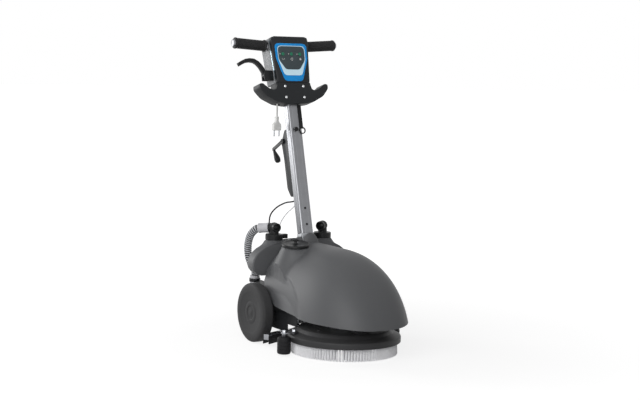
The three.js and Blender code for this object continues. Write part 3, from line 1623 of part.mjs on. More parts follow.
// Rounded trapezium of the control panel, drawn inwards by an inset.
function panelOutline(inset, bottom, bottomHalfWidth, corner = panelCorner) {
  const top = panelTop - inset;
  return roundedOutline([
    [-bottomHalfWidth, bottom, corner], [bottomHalfWidth, bottom, corner],
    [panelShoulderHalfWidth - inset, panelShoulder - inset / 2, corner * 2],
    [panelTopHalfWidth - inset, top, corner], [-panelTopHalfWidth + inset, top, corner],
    [-panelShoulderHalfWidth + inset, panelShoulder - inset / 2, corner * 2],
  ]);
}

const panelBack = consoleFrontY - seatGap;
const panelFace = panelBack - panelThickness;

function panelFrame() {
  const plate = plateFacingY(panelOutline(0, panelBottom, panelBottomHalfWidth), panelFace, panelBack);
  const opening = plateFacingY(panelOutline(borderInset, borderBottom, borderBottomHalfWidth),
    panelFace - cutOverrun, panelBack + cutOverrun);
  return cut(plate, opening);
}

function panelBorder() {
  const plate = plateFacingY(panelOutline(borderInset + seatGap, borderBottom + seatGap,
    borderBottomHalfWidth - seatGap), panelFace, panelBack);
  const opening = plateFacingY(panelOutline(borderInset + borderWidth, membraneBottom, membraneBottomHalfWidth),
    panelFace - cutOverrun, panelBack + cutOverrun);
  return cut(plate, opening);
}

const buttonXs = [-buttonPitch, 0, buttonPitch];

function panelMembrane() {
  const plate = plateFacingY(panelOutline(borderInset + borderWidth + seatGap, membraneBottom + seatGap,
    membraneBottomHalfWidth - seatGap), panelBack - membraneThickness, panelBack);
  const holes = buttonXs.map((x) => shaftHole(buttonRadius,
    point(x, panelBack - membraneThickness - cutOverrun, buttonZ), point(x, panelBack + cutOverrun, buttonZ)));
  return cut(plate, ...holes);
}

function pushButton(x) {
  const back = panelBack - buttonTravel - seatGap;
  const height = back - buttonFaceY;
  const geometry = turned([
    [0, 0], [buttonRadius, 0], [buttonRadius, height * 0.7], [buttonRadius * 0.8, height], [0, height],
  ], smallSides);
  return along(geometry, point(x, back, buttonZ), point(0, -1, 0));
}

function controlBoard() {
  const board = block(-boardHalfWidth, boardY, boardBottom, boardHalfWidth, boardY + boardThickness, boardTop);
  const partAt = (x, z, width, height, depth) => block(x - width / 2, boardY + boardThickness / 2, z - height / 2,
    x + width / 2, boardY + boardThickness + depth, z + height / 2);
  const middle = (boardBottom + boardTop) / 2;
  return join(board,
    partAt(-boardPartWidth, middle, boardPartWidth, boardPartWidth * 1.3, boardPartHeight),
    partAt(boardPartWidth, middle, boardPartWidth, boardPartWidth, boardPartHeight),
    partAt(0, boardBottom + boardPartWidth / 2, boardPartWidth * 2, boardPartWidth / 2, boardPartHeight));
}

add('console_front', consoleFront(), finish.charcoal, column);
add('console_back', consoleBack(), finish.mottled, column);
add('panel_frame', panelFrame(), finish.blue, column);
add('panel_border', panelBorder(), finish.silver, column);
add('panel_membrane', panelMembrane(), finish.membrane, column);
['button_left', 'button_middle', 'button_right'].forEach((name, i) => {
  add(name, pushButton(buttonXs[i]), finish.green, column);
});
add('control_board', controlBoard(), finish.membrane, column);

// Cable hook: a crescent whose two horns turn up beside the console

const glandTop = point(cordX, cordLocalY, 0);

function hookUndersideZ(x) {
  const share = Math.max(0, Math.abs(x) - hookFloorHalfWidth) / (hookHalfWidth - hookFloorHalfWidth);
  return hookBottom + (hookTipZ - hookBottom) * 0.55 * share;
}

function cableHook() {
  const innerFlank = hookFlankHalfWidth - hookArmThickness;
  const outline = roundedOutline([
    [-hookFloorHalfWidth * 0.45, hookBottom, 0], [hookFloorHalfWidth * 0.45, hookBottom, 0],
    [hookFloorHalfWidth, hookBottom + hookArmThickness * 0.35, hookArmThickness * 2],
    [hookFlankHalfWidth, hookFlankZ, hookArmThickness * 2],
    [hookHalfWidth, hookTipZ - hookArmThickness, hookArmThickness],
    [hookHalfWidth, hookTipZ, hookTipRounding],
    [hookHalfWidth - hookArmThickness * 0.8, hookTipZ, hookTipRounding],
    [innerFlank + hookArmThickness * 0.3, hookFlankZ + hookArmThickness * 1.6, hookArmThickness * 2],
    [consoleBottomHalfWidth + hookArmThickness * 0.4, hookFlankZ + hookArmThickness * 1.1, hookArmThickness * 1.5],
    [consoleBottomHalfWidth, consoleBottom - seatGap, 0],
    [-consoleBottomHalfWidth, consoleBottom - seatGap, 0],
    [-consoleBottomHalfWidth - hookArmThickness * 0.4, hookFlankZ + hookArmThickness * 1.1, hookArmThickness * 1.5],
    [-innerFlank - hookArmThickness * 0.3, hookFlankZ + hookArmThickness * 1.6, hookArmThickness * 2],
    [-hookHalfWidth + hookArmThickness * 0.8, hookTipZ, hookTipRounding],
    [-hookHalfWidth, hookTipZ, hookTipRounding],
    [-hookHalfWidth, hookTipZ - hookArmThickness, hookArmThickness],
    [-hookFlankHalfWidth, hookFlankZ, hookArmThickness * 2],
    [-hookFloorHalfWidth, hookBottom + hookArmThickness * 0.35, hookArmThickness * 2],
  ]);
  const body = plateFacingY(outline, hookFrontY, hookBackY);
  const columnSlot = plateFacingZ(columnOutline(columnWidth + 2 * seatGap, columnDepth + 2 * seatGap, columnCorner),
    hookBottom - cutOverrun, consoleBottom + cutOverrun);
  return cut(body, columnSlot, glandTool());
}

// World-vertical line of the pigtail, expressed in the leaning column's frame.
function hangDirection() {
  return point(0, 0, -1).applyAxisAngle(point(1, 0, 0), restTilt * degree);
}

const glandSeatZ = hookUndersideZ(cordX) + hookArmThickness * 0.3;

function glandTool() {
  const start = point(cordX, cordLocalY, glandSeatZ + glandSocketDepth);
  return rod(glandTopRadius + seatGap, start, start.clone().addScaledVector(hangDirection(), glandLength),
    midSides);
}

const glandStart = point(cordX, cordLocalY, glandSeatZ + glandSocketDepth)
  .addScaledVector(hangDirection(), seatGap);
const glandEnd = glandStart.clone().addScaledVector(hangDirection(), glandLength);

function cordGland() {
  const geometry = turned([
    [0, 0], [glandTopRadius, 0], [glandTopRadius, glandSocketDepth * 1.6],
    [glandTipRadius, glandLength], [0, glandLength],
  ], midSides);
  return along(geometry, glandStart, hangDirection());
}

const cordStart = glandEnd.clone().addScaledVector(hangDirection(), seatGap);
const cordEnd = cordStart.clone().addScaledVector(hangDirection(), cordLength);
const plugStart = cordEnd.clone().addScaledVector(hangDirection(), seatGap);

function powerPlug() {
  const shape = roundedOutline([
    [-plugNeckWidth / 2, 0, 0], [plugNeckWidth / 2, 0, 0],
    [plugNeckWidth / 2, -plugLength * 0.36, plugNeckWidth / 2],
    [plugWidth / 2, -plugLength * 0.56, plugNeckWidth / 2],
    [plugWidth / 2, -plugLength, plugCorner], [-plugWidth / 2, -plugLength, plugCorner],
    [-plugWidth / 2, -plugLength * 0.56, plugNeckWidth / 2],
    [-plugNeckWidth / 2, -plugLength * 0.36, plugNeckWidth / 2],
  ]);
  const body = plateFacingY(shape, -plugDepth / 2, plugDepth / 2);
  const pins = [-1, 1].map((side) => rod(plugPinRadius,
    point((side * plugPinPitch) / 2, 0, -plugLength + plugPinRadius),
    point((side * plugPinPitch) / 2, 0, -plugLength - plugPinLength), cordSides));
  const plug = join(body, ...pins);
  plug.rotateX(restTilt * degree);
  plug.translate(plugStart.x, plugStart.y, plugStart.z);
  return plug;
}

add('cable_hook', cableHook(), finish.charcoal, column);
add('cord_gland', cordGland(), finish.black, column);
add('power_cord', swept([cordStart, cordStart.clone().lerp(cordEnd, 0.5), cordEnd], cordRadius, cordSides, 4),
  finish.white, column);
add('power_plug', powerPlug(), finish.white, column);

// Handlebar, grips and the release lever under the left grip

add('handlebar', join(barArm(-1, barRadius), barArm(1, barRadius)), finish.cuff, column);

function handGrip(side) {
  const direction = gripDirection(side);
  const gripBore = boreRadius(barRadius, midSides);
  const geometry = turnedRing([
    [gripBore, 0], [gripRadius + gripEndFlare, 0], [gripRadius + gripEndFlare, gripLength * 0.04],
    [gripRadius - gripEndFlare / 2, gripLength * 0.08],
    [gripRadius - gripEndFlare / 3, gripLength * 0.9],
    [gripRadius + gripEndFlare / 2, gripLength * 0.96], [gripRadius, gripLength], [gripBore, gripLength],
  ], midSides);
  return along(geometry, gripPoint(side, gripInnerX), direction);
}

add('grip_left', handGrip(-1), finish.grip, column);
add('grip_right', handGrip(1), finish.grip, column);

function releaseBlock() {
  const y0 = releaseLeverY - releaseBlockDepth / 2;
  const y1 = releaseLeverY + releaseBlockDepth / 2;
  const outer = -releasePivotX - releaseHubRadius;
  const web = block(outer, y0, releaseBlockBottom, -consoleHalfWidthAt(releaseBlockTop) - seatGap,
    y1, releaseBlockTop);
  const slotHalf = releaseLeverDepth / 2 + runningGap;
  const slot = block(outer - cutOverrun, releaseLeverY - slotHalf, releaseBlockBottom - cutOverrun,
    -releasePivotX + releaseHubRadius * 1.6, releaseLeverY + slotHalf, releaseBlockTop + cutOverrun);
  const pin = rod(releasePinRadius, point(-releasePivotX, y0 + sheetWall / 2, releasePivotZ),
    point(-releasePivotX, y1 - sheetWall / 2, releasePivotZ));
  return join(cut(web, slot), pin);
}

function releaseLever() {
  const depth = releaseLeverDepth / 2;
  const hub = rod(releaseHubRadius, point(-releasePivotX, releaseLeverY - depth, releasePivotZ),
    point(-releasePivotX, releaseLeverY + depth, releasePivotZ), midSides);
  const top = new THREE.CatmullRomCurve3([
    point(-releasePivotX, 0, releasePivotZ + releaseHubRadius * 0.6),
    point(-releasePivotX - releaseHubRadius * 1.7, 0, releasePivotZ + releaseHubRadius * 3.9),
    point(-releasePivotX - releaseHubRadius * 4.5, 0, releasePivotZ + releaseHubRadius * 6.4),
    point(-releasePivotX - releaseHubRadius * 8.6, 0, releasePivotZ + releaseHubRadius * 6.5),
    point(-releasePivotX - releaseHubRadius * 12.4, 0, releasePivotZ + releaseHubRadius * 4.7),
  ], false, 'centripetal');
  const steps = smallSides;
  const upper = [];
  const lower = [];
  for (let i = 0; i <= steps; i += 1) {
    const p = top.getPointAt(i / steps);
    const t = top.getTangentAt(i / steps);
    const half = (releaseBarHeight / 2) * (1.25 - 0.25 * (i / steps));
    upper.push(new THREE.Vector2(p.x - t.z * half, p.z + t.x * half));
    lower.unshift(new THREE.Vector2(p.x + t.z * half, p.z - t.x * half));
  }
  const bar = plateFacingY(new THREE.Shape([...upper, ...lower]), releaseLeverY - depth, releaseLeverY + depth);
  const hole = shaftHole(releasePinRadius, point(-releasePivotX, releaseLeverY - depth - cutOverrun,
    releasePivotZ), point(-releasePivotX, releaseLeverY + depth + cutOverrun, releasePivotZ));
  return cut(join(hub, bar), hole);
}

add('release_block', releaseBlock(), finish.black, column);
add('release_lever', releaseLever(), finish.black, column);

// Retaining strap: lies on the column's front face

function retainingStrap() {
  const back = -columnDepth / 2 - seatGap;
  const front = back - strapThickness;
  const band = block(strapX - strapWidth / 2, front, strapBottom, strapX + strapWidth / 2, back, strapTop);
  const ringZ = strapBottom - strapRingRadius * 0.5;
  const hoop = turnedRing([
    [strapRingRadius - strapRingBar, 0], [strapRingRadius, 0], [strapRingRadius, strapRingBar],
    [strapRingRadius - strapRingBar, strapRingBar],
  ], midSides);
  return join(band, along(hoop, point(strapRingX, back, ringZ), point(0, -1, 0)));
}

add('retaining_strap', retainingStrap(), finish.rubber, column);

// Cables between the leaning column and the body, drawn in the machine's own frame

function fromColumn(x, y, z) {
  return point(x, y, z).applyAxisAngle(point(1, 0, 0), -restTilt * degree).add(point(0, pivotY, pivotZ));
}

const loomStart = fromColumn(loomStartX, columnDepth / 2 + housingDepth * 0.25, housingBottom - seatGap * 2);
const loomEnd = point(loomEndX, loomEndY, rearSkinZ(loomEndX, loomEndY) + grommetHeight + seatGap);
const liftCableStart = fromColumn(liftCableStartX, columnDepth / 2 + housingDepth * 0.3, housingBottom - seatGap);
const liftCableEnd = point(liftCableEndX, liftCableEndY,
  rearSkinZ(liftCableEndX, liftCableEndY) + grommetHeight + seatGap);

add('control_cable', swept([
  loomStart, fromColumn(-11, columnDepth / 2 + housingDepth * 0.25, housingBottom - loomLead),
  point(-30, 366, 458), point(-56, 382, 440), point(-78, 382, 416), point(-88, 372, 384), loomEnd,
], loomRadius, cordSides, 12), finish.rubber);

add('lift_cable', swept([
  liftCableStart, fromColumn(2, columnDepth / 2 + housingDepth * 0.28, housingBottom - liftCableLead),
  point(-16, 332, 446), point(-38, 342, 422), point(-54, 351, 392), point(-60, 356, 362), liftCableEnd,
], liftCableRadius, cordSides, 14), finish.cuff);

// Puts the middle of the footprint at the origin; the pigtail and plug are left out of the box.

const cordNodes = ['power_cord', 'power_plug'];
model.updateMatrixWorld(true);
const footprint = new THREE.Box3();
model.traverse((object) => {
  if (object.isMesh && !cordNodes.includes(object.name)) footprint.expandByObject(object, true);
});
model.position.set(
  -(footprint.min.x + footprint.max.x) / 2,
  -(footprint.min.y + footprint.max.y) / 2,
  -footprint.min.z,
);

export default model;
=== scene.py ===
"""Looks of a compact mains scrubber dryer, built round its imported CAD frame.

Lengths in the classes are millimetres in the maker's layout, which is measured from the brush
centre on the floor with the nose towards -Y. ``Layout`` turns them into metres in the shared frame.
"""

import json
import logging
import math
from collections.abc import Sequence
from dataclasses import dataclass
from enum import Enum
from itertools import product

import bmesh
import bpy
from mathutils import Matrix, Vector
from mathutils.kdtree import KDTree

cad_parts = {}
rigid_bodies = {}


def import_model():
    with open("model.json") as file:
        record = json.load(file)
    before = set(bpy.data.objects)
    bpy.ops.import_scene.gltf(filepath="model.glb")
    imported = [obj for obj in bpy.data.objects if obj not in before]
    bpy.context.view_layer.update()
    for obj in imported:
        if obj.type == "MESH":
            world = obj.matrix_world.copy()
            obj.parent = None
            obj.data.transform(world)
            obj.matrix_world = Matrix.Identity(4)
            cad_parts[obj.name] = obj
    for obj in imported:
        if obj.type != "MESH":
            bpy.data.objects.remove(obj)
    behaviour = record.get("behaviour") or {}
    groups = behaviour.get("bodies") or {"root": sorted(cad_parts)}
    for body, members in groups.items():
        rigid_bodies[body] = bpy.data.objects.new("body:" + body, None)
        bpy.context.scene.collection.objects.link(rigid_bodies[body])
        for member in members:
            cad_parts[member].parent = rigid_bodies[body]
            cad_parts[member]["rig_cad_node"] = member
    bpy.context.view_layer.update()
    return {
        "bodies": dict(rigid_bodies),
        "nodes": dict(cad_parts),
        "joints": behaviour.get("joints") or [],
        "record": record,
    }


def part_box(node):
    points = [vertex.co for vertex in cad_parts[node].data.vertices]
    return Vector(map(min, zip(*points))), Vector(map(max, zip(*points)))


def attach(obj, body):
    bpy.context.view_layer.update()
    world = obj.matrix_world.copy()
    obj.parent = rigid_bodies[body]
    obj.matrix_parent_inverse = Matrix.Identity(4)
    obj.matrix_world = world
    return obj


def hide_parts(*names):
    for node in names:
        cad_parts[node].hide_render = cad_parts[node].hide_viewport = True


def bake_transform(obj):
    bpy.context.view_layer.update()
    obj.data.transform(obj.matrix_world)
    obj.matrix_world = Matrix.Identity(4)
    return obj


log = logging.getLogger("scrubber")

Point = tuple[float, float, float]
Pair = tuple[float, float]
Colour = tuple[float, float, float, float]
Piece = bpy.types.Object
Node = bpy.types.Node
Socket = bpy.types.NodeSocket

SIDES = ((-1, "left"), (1, "right"))


# Layout


@dataclass(frozen=True)
class Layout:
    """Places that several sub-assemblies share, in millimetres of the brush layout.

    Attributes:
        shift_y: How far the brush centre lies behind the origin of the shared frame.
        pivot_y: Column pivot.
        pivot_z: Height of the column pivot.
        lean_deg: How far the column leans back at rest.
        axle_y: Wheel axle.
        wheel_radius: Radius of the wheels, and so the height of the axle.
        elbow: Middle of the right elbow; the left one is its mirror image.
        hose_way: Direction in which the left elbow faces the hose.
    """

    shift_y: float = -131.2677
    pivot_y: float = 264.0
    pivot_z: float = 330.0
    lean_deg: float = 15.54
    axle_y: float = 269
    wheel_radius: float = 100
    elbow: Point = (96, 320, 380.5)
    hose_way: Point = (-41.5, 55, -8)

    def body(self) -> Matrix:
        """Matrix from the brush layout in millimetres to the shared frame in metres."""
        return Matrix.Scale(0.001, 4) @ Matrix.Translation((0, self.shift_y, 0))

    def column(self) -> Matrix:
        """Matrix from the leaning column's own millimetres to the shared frame in metres."""
        lean = Matrix.Rotation(math.radians(-self.lean_deg), 4, "X")
        return self.body() @ Matrix.Translation((0, self.pivot_y, self.pivot_z)) @ lean


LAYOUT = Layout()
ON_BODY = LAYOUT.body()
ON_COLUMN = LAYOUT.column()


# Materials


MIX_BELOW, MIX_ABOVE, MIX_RESULT = 6, 7, 2  # colour sockets of a mix node
# Painted top light: a pale shade laid over the faces that look up.
PAINTED_TOP_LIGHT_SHADE = "a8a8a6"
PAINTED_TOP_LIGHT_FROM = 0.55  # height of a normal above which the painted top light lies
SPECK_SIZE = 1.6  # times the surface grain
SPECK_STOPS = (0.52, 0.6)
WAVE_RELIEF = 4  # times the relief of the surface grain
COAT_ROUGHNESS = 0.25
STAIN_SIZE = 0.03
BLACK_MASK, WHITE_MASK = (0, 0, 0, 1), (1, 1, 1, 1)


def linear(shade: str) -> Colour:
    """Linear colour of a hex shade such as ``5a5b5d``.

    Args:
        shade: The shade as it is seen.

    Returns:
        Red, green, blue and full opacity.
    """
    parts = [int(shade[i : i + 2], 16) / 255 for i in (0, 2, 4)]
    bent = [p / 12.92 if p <= 0.04045 else ((p + 0.055) / 1.055) ** 2.4 for p in parts]
    return (bent[0], bent[1], bent[2], 1.0)


def shades(base: str, share: float) -> tuple[Colour, Colour]:
    """A darker and a lighter variant of a shade.

    Args:
        base: Hex shade.
        share: How far each variant departs from it.

    Returns:
        The dark and the light colour.
    """
    colour = linear(base)[:3]
    dark = tuple(c * (1 - share) for c in colour)
    light = tuple(min(1.0, c * (1 + share)) for c in colour)
    return (*dark, 1.0), (*light, 1.0)


def feed(node: Node, **sockets: object) -> Node:
    """Set a node's inputs.

    Args:
        node: The node.
        **sockets: Input values by socket name, with underscores for spaces.

    Returns:
        The node.
    """
    for key, value in sockets.items():
        node.inputs[key.replace("_", " ")].default_value = value
    return node


class Nodes:
    """A material's node tree with short calls to add and join nodes."""

    def __init__(self, name: str) -> None:
        """Start a material.

        Args:
            name: Name of the material.
        """
        self.material = bpy.data.materials.new(name)
        self.material.use_nodes = True
        self.tree = self.material.node_tree
        self.tree.nodes.clear()
        self.output = self.add("ShaderNodeOutputMaterial")
        self.shader = self.add("ShaderNodeBsdfPrincipled")
        self.join(self.shader, "BSDF", self.output, "Surface")
        self.place = self.add("ShaderNodeTexCoord")

    def add(self, kind: str, **sockets: object) -> Node:
        """Add a node of a kind and set its inputs."""
        return feed(self.tree.nodes.new(kind), **sockets)

    def join(self, source: Node, output: str | int, target: Node, socket: str | int) -> None:
        """Link one node's output to another's input."""
        self.tree.links.new(source.outputs[output], target.inputs[socket])

    def mapping(self, scale: Point = (1, 1, 1)) -> Node:
        """Object coordinates times a scale.

        Args:
            scale: Scale along X, Y and Z.

        Returns:
            The mapping node.
        """
        node = self.add("ShaderNodeMapping", Scale=scale)
        self.join(self.place, "Object", node, "Vector")
        return node

    def noise(self, size: float, source: Node, detail: float, rough: float = 0.55) -> Node:
        """Noise over a mapping.

        Args:
            size: Size of a grain in metres.
            source: The mapping.
            detail: Layers of finer noise.
            rough: Strength of the finer layers.

        Returns:
            The noise node.
        """
        node = self.add("ShaderNodeTexNoise", Scale=1 / size, Detail=detail, Roughness=rough)
        self.join(source, 0, node, "Vector")
        return node

    def ramp(self, source: Node, stops: Pair, colours: tuple[Colour, Colour]) -> Node:
        """Colour ramp over a value.

        Args:
            source: Node that gives the value.
            stops: Positions of the two stops.
            colours: Their colours.

        Returns:
            The ramp node.
        """
        node = self.add("ShaderNodeValToRGB")
        for element, position, colour in zip(node.color_ramp.elements, stops, colours):
            element.position = position
            element.color = colour
        self.join(source, 0, node, 0)
        return node

    def roughen(self, source: Node, low: float, high: float) -> None:
        """Let the roughness wander between two values.

        Args:
            source: Noise that it follows.
            low: Roughness at 0.
            high: Roughness at 1.
        """
        node = self.add("ShaderNodeMapRange", To_Min=low, To_Max=high)
        self.join(source, 0, node, 0)
        self.join(node, "Result", self.shader, "Roughness")

    def bump(self, source: Node, depth: float, below: Node | None = None) -> Node:
        """Bump for the shader.

        Args:
            source: Noise that gives the height.
            depth: Its height in metres.
            below: Another bump that this one lies on.

        Returns:
            The bump node.
        """
        node = self.add("ShaderNodeBump", Strength=1.0, Distance=depth)
        self.join(source, 0, node, "Height")
        if below is not None:
            self.join(below, "Normal", node, "Normal")
        self.join(node, "Normal", self.shader, "Normal")
        return node

    def cover(self, below: Socket, mask: Node, colour: Colour) -> Socket:
        """Lay a colour over another by a mask.

        Args:
            below: The colour beneath.
            mask: Node that gives the mask.
            colour: The colour on top.

        Returns:
            The mixed colour's socket.
        """
        mix = self.add("ShaderNodeMix")
        mix.data_type = "RGBA"
        self.join(mask, 0, mix, "Factor")
        self.tree.links.new(below, mix.inputs[MIX_BELOW])
        mix.inputs[MIX_ABOVE].default_value = colour
        return mix.outputs[MIX_RESULT]

    def paint(self, colour: Socket) -> None:
        """Give the shader its colour."""
        self.tree.links.new(colour, self.shader.inputs["Base Color"])


@dataclass(frozen=True)
class Plastic:
    """Moulded plastic or rubber: mottled colour, grained skin, worn sheen.

    Attributes:
        slot: The record's material slot; not used.
        name: Name of the finish.
        shade: Hex colour.
        roughness: Middle roughness.
        grain_mm: Size of the surface grain.
        relief_mm: Height of the grain.
        mottle: Share by which the colour wanders.
        cloud_mm: Size of the colour clouds.
        speckle: Hex colour of fine specks, or empty.
        painted_top_light: Share of the painted top light, a pale shade laid on the upper faces.
        coat: Clear coat share.
        sheen: Strength of its mirror reflection.
        painted_glow: Painted light that the finish gives off itself, standing in for light through thin
            strands.
    """

    slot: str
    name: str
    shade: str
    roughness: float
    grain_mm: float
    relief_mm: float
    mottle: float
    cloud_mm: float
    speckle: str = ""
    painted_top_light: float = 0.0
    coat: float = 0.0
    sheen: float = 0.2
    painted_glow: float = 0.0

    def build(self) -> bpy.types.Material:
        """Make the material."""
        n = Nodes(self.name)
        feed(n.shader, Specular_IOR_Level=self.sheen)
        # Painted glow: the finish gives off light in its own colour.
        if self.painted_glow:
            feed(n.shader, Emission_Color=linear(self.shade), Emission_Strength=self.painted_glow)
        if self.coat:
            feed(n.shader, Coat_Weight=self.coat, Coat_Roughness=COAT_ROUGHNESS)
        place = n.mapping()
        clouds = n.noise(self.cloud_mm / 1000, place, 3)
        colour = n.ramp(clouds, (0.3, 0.7), shades(self.shade, self.mottle)).outputs["Color"]
        if self.speckle:
            specks = n.noise(self.grain_mm / 1000 * SPECK_SIZE, place, 2, 0.7)
            mask = n.ramp(specks, SPECK_STOPS, (BLACK_MASK, WHITE_MASK))
            colour = n.cover(colour, mask, linear(self.speckle))
        # Painted top light: faces that look up are lightened towards a pale shade.
        if self.painted_top_light:
            colour = n.cover(colour, self._upward(n), linear(PAINTED_TOP_LIGHT_SHADE))
        n.paint(colour)
        n.roughen(clouds, self.roughness - 0.05, self.roughness + 0.07)
        wave = n.bump(clouds, self.relief_mm / 1000 * WAVE_RELIEF)
        grain = n.noise(self.grain_mm / 1000, place, 3, 0.6)
        n.bump(grain, self.relief_mm / 1000, below=wave)
        return n.material

    def _upward(self, n: Nodes) -> Node:
        """Mask of the faces that look up, as strong as the painted top light.

        Args:
            n: The material's nodes.

        Returns:
            The node that gives the mask.
        """
        shape = n.add("ShaderNodeNewGeometry")
        split = n.add("ShaderNodeSeparateXYZ")
        n.join(shape, "Normal", split, 0)
        up = n.add("ShaderNodeMapRange", From_Min=PAINTED_TOP_LIGHT_FROM, From_Max=1.0, To_Min=0.0, To_Max=self.painted_top_light)
        n.join(split, "Z", up, 0)
        return up


@dataclass(frozen=True)
class Metal:
    """Bare or plated metal with drawn lines or a cast skin.

    Attributes:
        slot: The record's material slot; not used.
        name: Name of the finish.
        shade: Hex colour.
        roughness: Middle roughness.
        lines: Scale of the grain along X, Y and Z; small along the drawing direction.
        relief_mm: Height of the grain.
        grain_mm: Size of the grain across the lines.
        stain: Share by which dull spots darken it.
        anisotropy: How far its reflection is drawn out across the lines.
    """

    slot: str
    name: str
    shade: str
    roughness: float
    lines: Point
    relief_mm: float
    grain_mm: float
    stain: float
    anisotropy: float = 0.0

    def build(self) -> bpy.types.Material:
        """Make the material."""
        n = Nodes(self.name)
        feed(n.shader, Metallic=1.0, Anisotropic=self.anisotropy)
        streak = n.noise(self.grain_mm / 1000, n.mapping(self.lines), 5, 0.7)
        stains = n.noise(STAIN_SIZE, n.mapping(), 3)
        n.paint(n.ramp(stains, (0.35, 0.65), shades(self.shade, self.stain)).outputs["Color"])
        n.roughen(streak, self.roughness - 0.07, self.roughness + 0.09)
        n.bump(streak, self.relief_mm / 1000)
        return n.material


PLAIN = (1, 1, 1)


class Finish(Enum):
    """The machine's finishes."""

    # A share for upward faces paints a pale top light on them.
    BODY = Plastic("body_plastic", "rotomoulded_body", "58595b", 0.5, 1.1, 0.025, 0.035, 90,
                   painted_top_light=0.01, sheen=0.3)
    BLACK = Plastic("black_plastic", "moulded_black", "1b1c1d", 0.4, 0.8, 0.012, 0.08, 30)
    CHARCOAL = Plastic("charcoal_plastic", "grained_charcoal", "242628", 0.46, 0.7, 0.03, 0.06, 40,
                       painted_top_light=0.02)
    DECK = Plastic("deck_plastic", "deck_shell", "373738", 0.5, 1.0, 0.02, 0.05, 60, painted_top_light=0.03)
    WHEEL = Plastic("wheel_rubber", "wheel_tread", "3a3a3b", 0.66, 1.0, 0.03, 0.06, 35, painted_top_light=0.03)
    GRIP = Plastic("grip_rubber", "grip_skin", "262627", 0.6, 0.5, 0.04, 0.08, 20)
    RUBBER = Plastic("black_rubber", "plain_rubber", "19191b", 0.62, 0.7, 0.02, 0.12, 25)
    MOTTLED = Plastic("mottled_plastic", "speckled_shell", "77797c", 0.42, 1.5, 0.03, 0.1, 14,
                      speckle="b9bbbd")
    BLUE = Plastic("blue_panel", "blue_film", "0c9cf0", 0.36, 0.6, 0.006, 0.04, 60, coat=0.3)
    MEMBRANE = Plastic("membrane", "grey_film", "424c50", 0.42, 0.45, 0.012, 0.04, 30, coat=0.15)
    GREEN = Plastic("button_green", "green_key", "0e7a59", 0.32, 0.5, 0.006, 0.1, 6, coat=0.4)
    CUFF = Plastic("cuff_plastic", "pale_cuff", "d0d0d4", 0.45, 0.8, 0.012, 0.04, 25)
    HOSE = Plastic("hose_plastic", "hose_skin", "1c1d1f", 0.36, 0.8, 0.01, 0.08, 18)
    # Painted highlight: the pale finish for the crests of the hose's ribs.
    RIB = Plastic("hose_rib", "hose_rib_painted_highlight", "c4c6ca", 0.36, 0.8, 0.01, 0.06, 18)
    WHITE = Plastic("white_plastic", "plug_white", "e6e6e4", 0.42, 0.7, 0.01, 0.03, 20)
    # Painted glow: the bristles give off a little light of their own.
    BRISTLE = Plastic("bristle", "nylon_strand", "f0f0f2", 0.5, 1.2, 0.03, 0.05, 9, painted_glow=0.05)
    SHEET = Plastic("sheet_steel", "powder_coat", "232426", 0.44, 0.6, 0.02, 0.06, 20)
    SILVER = Metal("silver_panel", "silver_print", "b9d3df", 0.38, (1, 1, 30), 0.002, 2.0, 0.03)
    ALUMINIUM = Metal("aluminium", "drawn_aluminium", "7f8083", 0.32, (1, 1, 0.02), 0.003, 0.9, 0.03,
                      anisotropy=0.2)
    CASTING = Metal("casting", "cast_aluminium", "9b9da0", 0.42, PLAIN, 0.03, 1.4, 0.08)
    STEEL = Metal("steel", "turned_steel", "94969a", 0.3, (0.02, 1, 1), 0.004, 0.8, 0.06)
    CHROME = Metal("chrome", "bright_chrome", "c6c7c9", 0.2, PLAIN, 0.001, 1.0, 0.03)


class Paintbox:
    """Builds each finish once and gives it to the pieces."""

    def __init__(self) -> None:
        """Start with nothing built."""
        self.built: dict[Finish, bpy.types.Material] = {}

    def material(self, finish: Finish) -> bpy.types.Material:
        """The finish's material, made at its first use.

        Args:
            finish: The finish.

        Returns:
            The material.
        """
        if finish not in self.built:
            self.built[finish] = finish.value.build()
        return self.built[finish]

    def dress(self, obj: Piece, finish: Finish) -> None:
        """Give a piece or a CAD node one finish all over.

        Args:
            obj: The piece or node.
            finish: The finish.
        """
        obj.data.materials.clear()
        obj.data.materials.append(self.material(finish))


PAINT = Paintbox()


# Bench tools


MERGE = 1e-6
LEAST_RADIUS = 1e-4
SHORTEST = 1e-4  # least distance between two corners of a plate
LOFT_MERGE = 1e-3
FLAT_DEG = 1.0  # faces that turn less than this are joined on a copied node


def deselect_all() -> None:
    """Leave nothing selected, in object mode."""
    if bpy.context.object is not None and bpy.context.object.mode != "OBJECT":
        bpy.ops.object.mode_set(mode="OBJECT")
    bpy.ops.object.select_all(action="DESELECT")


def pick(*pieces: Piece) -> None:
    """Select some pieces alone and make the first one active.

    Args:
        *pieces: The pieces.
    """
    deselect_all()
    for piece in pieces:
        piece.select_set(True)
    bpy.context.view_layer.objects.active = pieces[0]


def open_edit(obj: Piece) -> None:
    """Enter edit mode on one piece, with everything selected.

    Args:
        obj: The piece to shape.
    """
    pick(obj)
    bpy.ops.object.mode_set(mode="EDIT")
    bpy.ops.mesh.select_all(action="SELECT")


def close_edit(merge: float = MERGE) -> None:
    """Merge doubles, turn the faces outwards and leave edit mode.

    Args:
        merge: Distance within which points are one.
    """
    bpy.ops.mesh.select_all(action="SELECT")
    bpy.ops.mesh.remove_doubles(threshold=merge)
    bpy.ops.mesh.normals_make_consistent(inside=False)
    bpy.ops.object.mode_set(mode="OBJECT")


def apply_modifiers(obj: Piece) -> None:
    """Apply every modifier of a piece, first to last.

    Args:
        obj: The piece.
    """
    pick(obj)
    for name in [m.name for m in obj.modifiers]:
        bpy.ops.object.modifier_apply(modifier=name)


def smooth(obj: Piece, angle_deg: float = 32) -> Piece:
    """Shade a piece smooth except at sharp edges.

    Args:
        obj: The piece.
        angle_deg: Edges sharper than this stay sharp.

    Returns:
        The same piece.
    """
    pick(obj)
    bpy.ops.object.shade_smooth_by_angle(angle=math.radians(angle_deg))
    return obj


